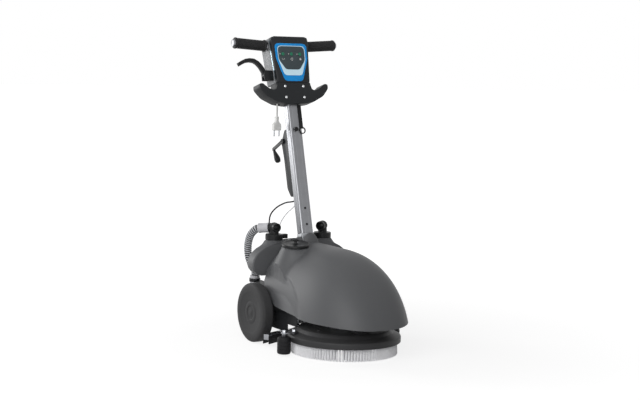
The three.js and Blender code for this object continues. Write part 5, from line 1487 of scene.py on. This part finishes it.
@dataclass
class Chassis:
    """Sheet chassis, wheels, bumper rollers and what stands on the chassis.

    Attributes:
        inner: Distance of a wheel's inner face from the middle.
        outer: Distance of its outer face.
        roller: Place of the right bumper roller.
        grooves: Heights of a roller's grooves.
        refined: Nodes that only get rounded edges.
    """

    inner: float = 171
    outer: float = 211
    roller: Pair = (211, 27.5)
    grooves: tuple[float, ...] = (21, 32.5, 44)
    refined: tuple[Refined, ...] = (
        Refined("chassis", "chassis_sheet", Finish.SHEET, "machine", 0.9),
        Refined("roller_bracket_left", "roller_mount_left", Finish.STEEL, "machine", 0.7),
        Refined("roller_bracket_right", "roller_mount_right", Finish.STEEL, "machine", 0.7),
        Refined("hose_clip", "hose_clip_sheet", Finish.SHEET, "machine", 0.5),
        Refined("column_bracket", "column_cheeks", Finish.BODY, "machine", 1.2),
        Refined("pivot_pin", "pivot_pin_turned", Finish.STEEL, "machine", 0.6),
        Refined("solution_valve", "solution_valve_body", Finish.BLACK, "machine", 0.8),
        Refined("brush_motor", "brush_motor_can", Finish.STEEL, "machine", 0.8),
        Refined("suction_motor", "suction_motor_can", Finish.BLACK, "machine", 0.8),
        Refined("drive_gearbox", "gearbox_case", Finish.CASTING, "machine", 0.8),
    )

    def build(self, frame: dict) -> None:
        """Build the wheels and rollers and refine the rest.

        Args:
            frame: The loaded frame.
        """
        for side, name in SIDES:
            self._wheel(side, name)
        for side, name in SIDES:
            self._roller(side, name)
        for piece in self.refined:
            piece.build(frame)

    def _wheel(self, side: int, name: str) -> None:
        """A dished wheel with a soft tyre edge, face rings and a hub cap.

        Args:
            side: -1 for left, 1 for right.
            name: The side's name.
        """
        r, a, b = LAYOUT.wheel_radius, self.inner, self.outer
        profile = [
            (0, b - 11), (10.4, b - 11), (10.4, a), (22, a), (30, a + 3), (86, a + 3), (90, a),
            (94, a + 0.6), (98.2, a + 3), (99.7, a + 6), (r, a + 9), (r, b - 10), (99.7, b - 7),
            (98.4, b - 4.4), (96, b - 2.2), (92, b - 0.8), (84, b - 0.2), (72, b - 0.2), (69, b - 0.9),
            (66, b - 1.7), (44, b - 2.4), (40, b - 3.2), (38, b - 3.4), (36, b - 2.6), (26, b - 1.9),
            (23.4, b - 2.6), (22, b - 3.8), (9, b - 3.8), (7, b - 3), (0, b - 2.8)]
        wheel = smooth(stood(profile, 128, (0, LAYOUT.axle_y, r), (side, 0, 0)), 34)
        node = f"wheel_{name}"
        settle(wheel, f"{node}_tyre", ON_BODY, Finish.WHEEL, f"{name}_wheel", node)

    def _roller(self, side: int, name: str) -> None:
        """A bumper roller with shallow grooves.

        Args:
            side: -1 for left, 1 for right.
            name: The side's name.
        """
        profile = [(4.4, 5), (18.5, 5), (20.5, 6), (22, 9), (22.5, 13)]
        for z in self.grooves:
            profile += [(22.5, z - 1.4), (21.4, z), (22.5, z + 1.4)]
        profile += [(22.5, 52), (22, 56), (20.5, 59), (18.5, 60), (4.4, 60)]
        roller = smooth(stood(profile, 64, (side * self.roller[0], self.roller[1], 0), ring=True), 40)
        node = f"bumper_roller_{name}"
        settle(roller, f"{node}_turned", ON_BODY, Finish.RUBBER, f"{name}_roller", node)


# Suction line and squeegee


@dataclass
class SuctionLine:
    """Cuffs, ribbed hose, rubber pipe and squeegee.

    Attributes:
        rib: Radius of the hose over its ribs.
        root: Its radius between them.
        rib_pitch: Distance from rib to rib.
        rib_shape: Share of a rib's height in each of its rings.
        sides: Corners of the hose's section.
        painted_highlight_from: Share of a rib's height above which the painted highlight lies.
        lower: Where the hose ends in the lower cuff.
        hose_points: Points of the hose between its straight ends.
        pipe_points: Points of the rubber pipe.
        refined: Nodes that only get rounded edges.
    """

    rib: float = 14
    root: float = 11.6
    rib_pitch: float = 8.6
    rib_shape: tuple[float, ...] = (0, 0, 0, 0.25, 0.95, 1, 0.95, 0.25)
    sides: int = 28
    painted_highlight_from: float = 0.55
    lower: Point = (-109, 429, 184.3)
    hose_points: tuple[Point, ...] = (
        (-143, 399, 350), (-140, 426, 314), (-133, 439, 278), (-125, 439, 248))
    pipe_points: tuple[Point, ...] = (
        (-109, 429, 169.7), (-109, 429, 155.7), (-109, 427, 128), (-105, 410, 92), (-84, 374, 66),
        (-46, 330, 59), (-12, 296, 59), (0, 280.3, 60), (0, 252.3, 60))
    refined: tuple[Refined, ...] = (
        Refined("squeegee_body", "squeegee_bar", Finish.STEEL, "squeegee", 1.0),
        Refined("front_blade", "front_blade_strip", Finish.RUBBER, "squeegee", 0.4),
        Refined("rear_blade", "rear_blade_strip", Finish.RUBBER, "squeegee", 0.4),
    )

    def build(self, frame: dict) -> None:
        """Build the whole line and the squeegee.

        Args:
            frame: The loaded frame.
        """
        self._cuffs()
        self._hose()
        self._pipe()
        for piece in self.refined:
            piece.build(frame)

    def _start(self) -> Vector:
        """Middle of the left elbow."""
        x, y, z = LAYOUT.elbow
        return Vector((-x, y, z))

    def _cuffs(self) -> None:
        """The pale cuff on the elbow, and the one in its clip with a shoulder inside."""
        profile = [(14.3, 19), (16.2, 19), (17, 19.8), (17, 28), (16.5, 29), (16.5, 50), (17, 51),
                   (17, 57), (16.2, 58), (14.3, 58)]
        cuff = smooth(stood(profile, 72, self._start(), LAYOUT.hose_way, ring=True), 30)
        settle(cuff, "hose_cuff", ON_BODY, Finish.CUFF, "machine", "upper_cuff")
        profile = [(10.6, 170), (16.4, 170), (17, 170.8), (17, 199), (16.2, 200), (14.4, 200),
                   (14.4, 184), (10.6, 184)]
        cuff = smooth(stood(profile, 72, (self.lower[0], self.lower[1], 0), ring=True), 30)
        settle(cuff, "lower_hose_cuff", ON_BODY, Finish.CUFF, "machine", "lower_cuff")

    def _route(self) -> list[Vector]:
        """Middle line of the hose, in the brush layout, straight for a diameter at each end."""
        way = Vector(LAYOUT.hose_way).normalized()
        start = self._start() + way * 34.3
        end, up = Vector(self.lower), Vector((0, 0, 1))
        middle = [Vector(p) for p in self.hose_points]
        points = [start, start + way * 14, start + way * 28, *middle, end + up * 28, end + up * 14, end]
        return smooth_route(points, 14)

    def _hose(self) -> None:
        """A ribbed tube: rings are swept along the route, alternately wide and narrow."""
        route = self._route()
        steps = [0.0]
        for a, b in zip(route, route[1:]):
            steps.append(steps[-1] + (b - a).length)
        total = steps[-1]
        last = round(total / self.rib_pitch) * len(self.rib_shape)
        turns = [2 * math.pi * k / self.sides for k in range(self.sides)]
        rings, centres = [], []
        side = Vector((0, 0, 1))
        place = 0
        for i in range(last + 1):
            at = total * i / last
            while place + 2 < len(steps) and steps[place + 1] < at:
                place += 1
            share = (at - steps[place]) / max(1e-6, steps[place + 1] - steps[place])
            centre = route[place].lerp(route[place + 1], min(1.0, share))
            ahead = (route[place + 1] - route[place]).normalized()
            side = (side - ahead * side.dot(ahead)).normalized()
            over = ahead.cross(side)
            radius = self.root + (self.rib - self.root) * self.rib_shape[i % len(self.rib_shape)]
            rings.append([tuple(centre + side * (radius * math.cos(turn)) + over * (radius * math.sin(turn)))
                          for turn in turns])
            centres.append(ON_BODY @ centre)
        hose = smooth(lofted(rings), 60)
        settle(hose, "ribbed_hose", ON_BODY, Finish.HOSE, "machine", "suction_hose")
        self._paint_rib_highlights(hose, centres)

    def _paint_rib_highlights(self, hose: Piece, centres: Sequence[Vector]) -> None:
        """Paint a pale highlight onto the raised ribs of the hose, against the darker hose between them.

        Args:
            hose: The finished hose.
            centres: Middle of each of its rings, in the shared frame.
        """
        tree = KDTree(len(centres))
        for i, centre in enumerate(centres):
            tree.insert(centre, i)
        tree.balance()
        hose.data.materials.append(PAINT.material(Finish.RIB))
        limit = (self.root + (self.rib - self.root) * self.painted_highlight_from) / 1000
        # Painted highlight: faces out on the ribs' crests take the pale finish.
        for face in hose.data.polygons:
            if (face.center - tree.find(face.center)[0]).length > limit:
                face.material_index = 1

    def _pipe(self) -> None:
        """The rubber pipe to the squeegee."""
        pipe = smooth(tube([Vector(p) for p in self.pipe_points], 14, 10, 10), 60)
        settle(pipe, "rubber_pipe", ON_BODY, Finish.RUBBER)
        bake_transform(pipe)
        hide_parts("squeegee_pipe")


# Column


@dataclass
class Column:
    """Column tube, foot, lever housing, lever, strap and cables, in the column's millimetres.

    Attributes:
        half_width: Half of the tube's width.
        half_depth: Half of its depth.
        corner: Rounding of its corners.
        low: Its lower end.
        high: Its upper end.
        wall: Its wall.
        groove: Radius of its grooves.
        groove_x: Distance of the grooves on the broad faces from the middle.
        screw_zs: Heights of the foot's screws.
        stud: Place of the strap's stud across and up.
        refined: Nodes that only get rounded edges.
    """

    half_width: float = 23.5
    half_depth: float = 18
    corner: float = 8
    low: float = 32
    high: float = 676
    wall: float = 2.6
    groove: float = 1.0
    groove_x: float = 9.5
    screw_zs: Pair = (62, 118)
    stud: Pair = (-3, 394)
    refined: tuple[Refined, ...] = (
        Refined("column_foot", "column_foot_casting", Finish.CASTING, "column", 1.2),
        Refined("lever_housing", "lever_housing_shell", Finish.CHARCOAL, "column", 0.9),
        Refined("lift_lever", "lift_lever_arm", Finish.BLACK, "lift_crank", 0.3),
        Refined("retaining_strap", "strap_moulding", Finish.RUBBER, "strap", 0.7),
    )

    def build(self, frame: dict) -> None:
        """Build the tube, its screws and cables and refine the rest.

        Args:
            frame: The loaded frame.
        """
        self._tube()
        self._screws()
        for piece in self.refined:
            piece.build(frame)
        self._cable("control_cable", 2.6, Finish.RUBBER, [(-9, 29.5, 165.4), (-11, 29.5, 152)], [
            (-30, 366, 458), (-56, 382, 440), (-78, 382, 416), (-88, 372, 384), (-88, 366, 0)])
        self._cable("lift_cable", 1.5, Finish.CUFF, [(5, 31.8, 165.7), (2, 30.88, 150)], [
            (-16, 332, 446), (-38, 342, 422), (-54, 351, 392), (-60, 356, 362), (-60, 356, 0)])

    def _section(self, inset: float, steps: int) -> list[Pair]:
        """Outline of the tube's section.

        Args:
            inset: How far it lies inside the outer face.
            steps: Points along each corner.

        Returns:
            The points of the outline.
        """
        w, d, r = self.half_width - inset, self.half_depth - inset, self.corner - inset
        return rounded_outline([(-w, -d, r), (w, -d, r), (w, d, r), (-w, d, r)], steps)

    def _tube(self) -> None:
        """Extruded tube with two fine grooves down each broad face and one down each side."""
        extrusion = plate(self._section(0, 10), self.low, self.high)
        hollow = plate(self._section(self.wall, 8), self.low - 3, self.high + 3)
        out_x, out_y = self.half_width + 0.45, self.half_depth + 0.45
        grooves = []
        for side, _ in SIDES:
            for x, y in ((-self.groove_x, side * out_y), (self.groove_x, side * out_y), (side * out_x, 0)):
                grooves.append(rod(self.groove, (x, y, self.low - 5), (x, y, self.high + 5), 10))
        smooth(cut(extrusion, hollow, *grooves), 24)
        settle(extrusion, "column_extrusion", ON_COLUMN, Finish.ALUMINIUM, "column", "column_tube")

    def _screws(self) -> None:
        """The strap's stud and the foot's screws."""
        ahead = (0, -1, 0)
        x, z = self.stud
        profile = [(0, -1), (6, -1), (6, 1.6), (5, 2.4), (5, 4.2), (7.2, 4.6), (7.8, 6), (6.8, 7),
                   (2.2, 7), (2, 5.6), (0, 5.6)]
        pieces = [stood(profile, 32, (x, -self.half_depth, z), ahead)]
        profile = [(0, -0.5), (4.2, -0.5), (4.2, 0.5), (3.2, 1.5), (1.4, 1.8), (1.3, 1.1), (0, 1.1)]
        pieces += [stood(profile, 24, (0, -self.half_depth, z), ahead) for z in self.screw_zs]
        settle(smooth(joined(*pieces), 40), "column_screws", ON_COLUMN, Finish.BLACK, "column")

    def _cable(self, node: str, radius: float, finish: Finish,
               column_points: Sequence[Point], body_points: Sequence[Point]) -> None:
        """A cable that bends between the column and the tank.

        Args:
            node: CAD node that it stands for.
            radius: Radius of the cable.
            finish: Its finish.
            column_points: First points, in the column's millimetres.
            body_points: Later points in the brush layout; the last one stands on the tank.
        """
        start = [ON_COLUMN @ Vector(p) for p in column_points]
        rest = [ON_BODY @ Vector(p) for p in body_points]
        rest[-1].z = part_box(node)[0].z + 0.0002
        cable = tube([p * 1000 for p in start + rest], radius * 0.98, 6, 12)
        settle(cable, f"{node}_sheath", Matrix.Scale(0.001, 4), finish)
        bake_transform(cable)
        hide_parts(node)


# Console


@dataclass
class Console:
    """Console shells, panel, buttons, hook, gland and pigtail, in the column's millimetres.

    Attributes:
        face_y: Face of the panel, where lamps and icons lie.
        button_y: Seat of the buttons.
        button_z: Height of the buttons.
        button_xs: Places of the buttons across.
        lamp_reach: Distance of a lamp to the left of its button.
        icon_drop: Distance of an icon below its button.
        screw_y: Face of the hook.
        gland: Seat of the cord's gland.
        hang_deg: Angle between the column and the hanging cord.
        cord_radius: Radius of the cord.
        cord_length: Free length of the cord.
        pin_x: Distance of the plug's pins from its middle.
        pin_radius: Radius of the pins.
        refined: Nodes that only get rounded edges.
    """

    face_y: float = -40.0
    button_y: float = -39.55
    button_z: float = 656
    button_xs: Point = (-33.5, 0.0, 33.5)
    lamp_reach: float = 11.4
    icon_drop: float = 18
    screw_y: float = -36.4
    gland: Point = (-56, -6, 502.1)
    hang_deg: float = 15.5
    cord_radius: float = 3.5
    cord_length: float = 44
    pin_x: float = 9.5
    pin_radius: float = 2.35
    refined: tuple[Refined, ...] = (
        Refined("console_front", "console_face", Finish.CHARCOAL, "column", 1.1, 3),
        Refined("console_back", "console_shell", Finish.MOTTLED, "column", 1.6, 3),
        Refined("panel_frame", "panel_blue_frame", Finish.BLUE, "column", 0.6, 3),
        Refined("panel_border", "panel_silver_border", Finish.SILVER, "column", 0.3),
        Refined("panel_membrane", "panel_face", Finish.MEMBRANE, "column", 0.25),
        Refined("cable_hook", "cable_hook_moulding", Finish.CHARCOAL, "column", 1.6, 3),
    )

    def build(self, frame: dict) -> None:
        """Build the console and what hangs on it.

        Args:
            frame: The loaded frame.
        """
        for piece in self.refined:
            piece.build(frame)
        self._buttons()
        self._lamps()
        self._icons()
        self._screws()
        self._seam()
        self._pigtail()

    def _facing(self, profile: Sequence[Pair], sides: int, x: float, y: float, z: float) -> Piece:
        """A turned piece on the console that faces the front.

        Args:
            profile: Radius and height of each ring, in order.
            sides: Corners of each ring.
            x: Its place across.
            y: Its seat.
            z: Its height.

        Returns:
            The piece.
        """
        return stood(profile, sides, (x, y, z), (0, -1, 0))

    def _buttons(self) -> None:
        """The three domed push buttons."""
        profile = [(0, 0), (6, 0), (6, 1.6), (5.6, 2), (4.6, 2.3), (3.4, 2.42), (0, 2.45)]
        for name, x in zip(("left", "middle", "right"), self.button_xs):
            button = smooth(self._facing(profile, 40, x, self.button_y, self.button_z), 40)
            settle(button, f"{name}_push_button", ON_COLUMN, Finish.GREEN, f"{name}_button", f"button_{name}")

    def _lamps(self) -> None:
        """A small lamp to the left of each button."""
        profile = [(0, -0.4), (1.7, -0.4), (1.7, 0.3), (1.2, 0.45), (0, 0.5)]
        lamps = [self._facing(profile, 24, x - self.lamp_reach, self.face_y, self.button_z)
                 for x in self.button_xs]
        settle(smooth(joined(*lamps), 40), "panel_lamps", ON_COLUMN, Finish.WHITE, "column")

    def _icons(self) -> None:
        """A plain mark below each button: an arc of dots, a ring and a drop."""
        left, middle, right = self.button_xs
        face, z = self.face_y, self.button_z - self.icon_drop
        marks: list[Piece] = []
        for k in range(5):
            turn = math.radians(200 + 35 * k)
            x, dot_z = left + 5 * math.cos(turn), z + 3 + 5 * math.sin(turn)
            marks.append(self._facing([(0, -0.2), (1.0, -0.2), (1.0, 0.18), (0, 0.18)], 16, x, face, dot_z))
        profile = [(3.3, -0.2), (4.7, -0.2), (4.7, 0.18), (3.3, 0.18)]
        marks.append(stood(profile, 40, (middle, face, z), (0, -1, 0), ring=True))
        drop = []
        for k in range(40):
            turn = 2 * math.pi * k / 40
            rise = 4.2 * math.sin(turn)
            wide = 3.6 * math.cos(turn) * (1 - 0.42 * max(0.0, math.sin(turn)) ** 0.8)
            drop.append((right + wide, z + rise * (1.3 if rise > 0 else 0.9)))
        marks.append(plate_facing_front(drop, face - 0.18, face + 0.2))
        settle(smooth(joined(*marks), 30), "panel_icons", ON_COLUMN, Finish.WHITE, "column")

    def _screws(self) -> None:
        """Screws in the hook, each with a round recess in its head."""
        profile = [(0, -1), (4.4, -1), (4.4, 0.4), (3.4, 1.3), (1.5, 1.7), (1.2, 0.9), (0, 0.9)]
        screws = [self._facing(profile, 28, x, self.screw_y, z) for x, z in product((-36, 36), (543, 504))]
        settle(smooth(joined(*screws), 40), "hook_screws", ON_COLUMN, Finish.CHROME, "column")

    def _seam(self) -> None:
        """The pale line down each side where the two shells meet."""
        flare, height, below = 10, 164, 16
        reach = 64 + flare * below / height - 0.1
        strips = []
        for side, _ in SIDES:
            strip = block((-0.35, -22.9, 0), (0.35, -20.9, 136))
            tilt = Matrix.Rotation(side * math.atan2(flare, height), 4, "Y")
            strip.data.transform(Matrix.Translation((side * reach, 0, 572)) @ tilt)
            strips.append(strip)
        settle(joined(*strips), "console_seam", ON_COLUMN, Finish.SILVER, "column")

    def _pigtail(self) -> None:
        """Gland, short cord and two-pin plug hanging straight down."""
        lean = math.radians(self.hang_deg)
        down = Vector((0, math.sin(lean), -math.cos(lean)))
        seat = Vector(self.gland) + down * 0.3
        profile = [(0, 0), (7.8, 0), (8, 0.4), (8, 8.4), (7.6, 9.4), (6.6, 10.4), (6.2, 12), (5, 14), (0, 14)]
        cone = smooth(stood(profile, 40, seat, down), 40)
        settle(cone, "cord_gland_cone", ON_COLUMN, Finish.BLACK, "column", "cord_gland")
        start = seat + down * 14.3
        end = start + down * self.cord_length
        cord = tube([start, start.lerp(end, 0.5), end], self.cord_radius, 12, 6)
        settle(smooth(cord, 50), "pigtail_cord", ON_COLUMN, Finish.WHITE, "column", "power_cord")
        plug = self._plug(Matrix.Translation(end + down * 0.3) @ Matrix.Rotation(lean, 4, "X"))

    def _plug(self, place: Matrix) -> tuple[Piece, Piece]:
        """The plug's body with its grip slots, and its two pins.

        Args:
            place: Matrix that hangs it under the cord.

        Returns:
            The body and the pins.
        """
        outline = rounded_outline([
            (-5, 0, 1), (5, 0, 1), (5, -17.3, 5), (14.5, -26.9, 5), (14.5, -48, 3), (-14.5, -48, 3),
            (-14.5, -26.9, 5), (-5, -17.3, 5)], 6)
        body = bevelled(plate_facing_front(outline, -7, 7), 1.6, 3, 40)
        cut(body, *(block((-5.6, -8, -4.2 - 3 * k), (5.6, -4.4, -3.2 - 3 * k)) for k in range(4)))
        body.data.transform(place)
        r, x = self.pin_radius, self.pin_x
        pins = [rod(r, (side * x, 0, -46), (side * x, 0, -66), 20) for side, _ in SIDES]
        tip = [(0, 0), (r, 0), (2.1, 1.8), (1.2, 2.9), (0, 3)]
        pins += [stood(tip, 20, (side * x, 0, -66), (0, 0, -1)) for side, _ in SIDES]
        metal = joined(*pins)
        metal.data.transform(place)
        settle(smooth(body, 35), "plug_body", ON_COLUMN, Finish.WHITE, "column", "power_plug")
        settle(smooth(metal, 35), "plug_pins", ON_COLUMN, Finish.STEEL, "column")
        return body, metal


# Handles


@dataclass
class Handles:
    """Handlebar, ribbed grips and the release lever, in the column's millimetres.

    Attributes:
        bar_z: Height of the handlebar's middle.
        rise: How far its ends rise.
        half_span: Half of its span.
        inner: Distance of a grip's inner end from the middle.
        length: Length of a grip.
        radius: Radius of a grip.
        bar_radius: Radius of the bar.
        ribs: Number of a grip's ribs.
        refined: Nodes that only get rounded edges.
    """

    bar_z: float = 688
    rise: float = 14
    half_span: float = 204
    inner: float = 80
    length: float = 118
    radius: float = 18.8
    bar_radius: float = 13
    ribs: int = 24
    refined: tuple[Refined, ...] = (
        Refined("handlebar", "handlebar_tube", Finish.ALUMINIUM, "column", 0.9),
        Refined("release_block", "release_mount", Finish.BLACK, "column", 0.8),
        Refined("release_lever", "release_lever_bar", Finish.BLACK, "release", 1.2, 3),
    )

    def build(self, frame: dict) -> None:
        """Build the grips and refine the rest.

        Args:
            frame: The loaded frame.
        """
        for piece in self.refined:
            piece.build(frame)
        for side, name in SIDES:
            self._grip(side, f"grip_{name}")

    def _grip(self, side: int, node: str) -> None:
        """A rubber grip: fine ribs round it, a flange at each end and a striped end face.

        Args:
            side: -1 for left, 1 for right.
            node: CAD node that it stands for.
        """
        r, n = self.radius, self.length
        bore = self.bar_radius + 0.3
        way = Vector((side * self.half_span, 0, self.rise)).normalized()
        start = Vector((side * self.inner, 0, self.bar_z + self.rise * self.inner / self.half_span))
        profile = [(bore, 0), (r + 1, 0), (r + 2, 0.8), (r + 2, 4), (r + 1, 5), (r - 1.2, 6.5)]
        pitch = (n - 22) / self.ribs
        for k in range(self.ribs):
            at = 9 + (n - 22) * k / self.ribs
            profile += [(r - 1.6, at), (r - 0.5, at + pitch * 0.25), (r - 0.5, at + pitch * 0.65),
                        (r - 1.6, at + pitch * 0.9)]
        profile += [(r - 1, n - 11), (r + 0.6, n - 6), (r + 0.8, n - 4), (r + 0.2, n - 1.2),
                    (r - 1.2, n), (bore, n)]
        grip = smooth(stood(profile, 72, start, way, ring=True), 40)
        settle(grip, f"{node}_sleeve", ON_COLUMN, Finish.GRIP, "column", node)
        end = start + way * n - way * 0.3
        rings = []
        for k in range(4):
            a = 2.4 + 2.8 * k
            b = a + 1.2
            rings.append(stood([(a, -0.4), (b, -0.4), (b, 0.2), (a, 0.2)], 48, end, way, ring=True))
        settle(smooth(joined(*rings), 30), f"{node}_end_rings", ON_COLUMN, Finish.MOTTLED, "column")
        disc = smooth(stood([(0, -3), (12.9, -3), (12.9, -0.4), (0, -0.4)], 48, end, way), 30)
        settle(disc, f"{node}_end_plug", ON_COLUMN, Finish.BLACK, "column")


# Studio


def seen_directly(tree: bpy.types.NodeTree) -> Socket:
    """Mask of the rays that come from the camera, in gloss or through glass.

    Args:
        tree: Node tree of a material or world.

    Returns:
        The socket that is one for these rays.
    """
    path = tree.nodes.new("ShaderNodeLightPath")
    mask = path.outputs["Is Camera Ray"]
    for ray in ("Is Glossy Ray", "Is Transmission Ray"):
        more = tree.nodes.new("ShaderNodeMath")
        more.operation = "MAXIMUM"
        tree.links.new(mask, more.inputs[0])
        tree.links.new(path.outputs[ray], more.inputs[1])
        mask = more.outputs[0]
    return mask


@dataclass(frozen=True)
class Lamp:
    """One soft square lamp.

    Attributes:
        name: Name of the lamp.
        place: Where it hangs, in metres.
        target: What it looks at.
        size: Edge in metres.
        power: Power in watts.
    """

    name: str
    place: Point
    target: Point
    size: float
    power: float

    def build(self) -> None:
        """Hang the lamp."""
        data = bpy.data.lights.new(self.name, "AREA")
        data.shape = "SQUARE"
        data.size = self.size
        data.energy = self.power
        lamp = bpy.data.objects.new(self.name, data)
        lamp.location = self.place
        aim = Vector(self.target) - Vector(self.place)
        lamp.rotation_euler = aim.to_track_quat("-Z", "Y").to_euler()
        bpy.context.scene.collection.objects.link(lamp)


@dataclass
class Studio:
    """Pale floor, soft lamps and the camera.

    Attributes:
        camera_place: Camera position in metres.
        azimuth_deg: Bearing from which the object is seen.
        yaw_deg: How far the camera looks past the object's axis.
        pitch_deg: How far it looks down.
        roll_deg: How far it is rolled.
        lens_mm: Focal length on the sensor.
        sensor_mm: Width of the sensor.
        far_clip: Furthest distance that the camera sees, in metres.
        floor_size: Edge of the floor in metres.
        floor_shade: Reflected share of the floor's light.
        near_glow: Light of the floor itself near the object.
        glow_span: Distances over which that light rises to full white.
        sky: Strength of the world's light on the object.
        lamps: The lamps.
    """

    camera_place: Point = (-2.5695, -4.2965, 0.986)
    azimuth_deg: float = -31.67
    yaw_deg: float = 1.07
    pitch_deg: float = 5.66
    roll_deg: float = 1.53
    lens_mm: float = 84.54
    sensor_mm: float = 36
    far_clip: float = 200
    floor_size: float = 60.0
    floor_shade: float = 0.3
    near_glow: float = 0.8
    glow_span: Pair = (0.5, 2.2)
    sky: float = 0.15
    lamps: tuple[Lamp, ...] = (
        Lamp("key_lamp", (-3.0, -1.6, 1.9), (-0.05, -0.05, 0.35), 2.2, 54),
        Lamp("side_lamp", (-1.5, 2.5, 1.0), (0.0, 0.2, 0.65), 1.2, 30),
        Lamp("front_lamp", (-2.2, -3.3, 1.4), (0.0, 0.0, 0.35), 1.8, 44),
        Lamp("top_lamp", (-0.3, 0.3, 3.4), (0.0, 0.0, 0.2), 2.2, 5),
    )

    def build(self) -> None:
        """Set up floor, world, lamps and camera."""
        self._floor()
        self._world()
        for lamp in self.lamps:
            lamp.build()
        self._camera()

    def _floor(self) -> None:
        """A pale floor that keeps the shadow and fades into the background."""
        deselect_all()
        bpy.ops.mesh.primitive_plane_add(size=self.floor_size)
        floor = bpy.context.object
        floor.name = "studio_floor"
        n = Nodes("pale_floor")
        grey = (self.floor_shade, self.floor_shade, self.floor_shade, 1)
        feed(n.shader, Roughness=0.9, Specular_IOR_Level=0.1, Base_Color=grey)
        away = n.add("ShaderNodeVectorMath")
        away.operation = "LENGTH"
        n.join(n.mapping(), 0, away, 0)
        near, far = self.glow_span
        rising = n.add("ShaderNodeMapRange", From_Min=near, From_Max=far, To_Min=self.near_glow, To_Max=1.0)
        n.join(away, 1, rising, 0)
        painted_glow = n.add("ShaderNodeEmission", Color=WHITE_MASK)
        n.join(rising, 0, painted_glow, "Strength")
        nothing = n.add("ShaderNodeEmission", Color=BLACK_MASK, Strength=0)
        choose = n.add("ShaderNodeMixShader")
        n.tree.links.new(seen_directly(n.tree), choose.inputs[0])
        n.join(nothing, 0, choose, 1)
        n.join(painted_glow, 0, choose, 2)
        total = n.add("ShaderNodeAddShader")
        n.join(n.shader, "BSDF", total, 0)
        n.join(choose, 0, total, 1)
        n.join(total, 0, n.output, "Surface")
        floor.data.materials.append(n.material)

    def _world(self) -> None:
        """White for what is seen directly, soft grey for the light."""
        world = bpy.data.worlds.new("studio_world")
        bpy.context.scene.world = world
        world.use_nodes = True
        tree = world.node_tree
        tree.nodes.clear()
        mix = tree.nodes.new("ShaderNodeMixShader")
        tree.links.new(seen_directly(tree), mix.inputs[0])
        for socket, strength in ((1, self.sky), (2, 1.0)):
            light = feed(tree.nodes.new("ShaderNodeBackground"), Color=WHITE_MASK, Strength=strength)
            tree.links.new(light.outputs[0], mix.inputs[socket])
        tree.links.new(mix.outputs[0], tree.nodes.new("ShaderNodeOutputWorld").inputs[0])

    def _camera(self) -> None:
        """Place the camera at the photograph's angle."""
        bearing = math.radians(self.azimuth_deg + self.yaw_deg)
        pitch = math.radians(self.pitch_deg)
        roll = math.radians(self.roll_deg)
        level = math.cos(pitch)
        ahead = Vector((-math.sin(bearing) * level, math.cos(bearing) * level, -math.sin(pitch)))
        right = ahead.cross(Vector((0, 0, 1))).normalized()
        up = right.cross(ahead)
        across = right * math.cos(roll) + up * math.sin(roll)
        over = up * math.cos(roll) - right * math.sin(roll)
        data = bpy.data.cameras.new("camera")
        data.lens = self.lens_mm
        data.sensor_width = self.sensor_mm
        data.clip_end = self.far_clip
        camera = bpy.data.objects.new("camera", data)
        bpy.context.scene.collection.objects.link(camera)
        turn = Matrix((across, over, -ahead)).transposed().to_4x4()
        camera.matrix_world = Matrix.Translation(self.camera_place) @ turn
        bpy.context.scene.camera = camera


# Nodes that stay as they are and only get a finish
BARE_NODES: dict[str, Finish] = {
    "wheel_axle": Finish.STEEL,
    "float_cage": Finish.WHITE,
    "float_ball": Finish.WHITE,
    "control_board": Finish.MEMBRANE,
}


def main() -> None:
    """Build the studio, dress the frame and add every piece."""
    logging.basicConfig(level=logging.INFO, format="%(message)s")
    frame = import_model()
    deselect_all()
    bpy.context.scene.view_settings.view_transform = "Standard"
    Studio().build()
    for node, finish in BARE_NODES.items():
        PAINT.dress(frame["nodes"][node], finish)
    for part in (Tanks(), BrushUnit(), Chassis(), SuctionLine(), Column(), Console(), Handles()):
        part.build(frame)


if __name__ == "__main__":
    main()
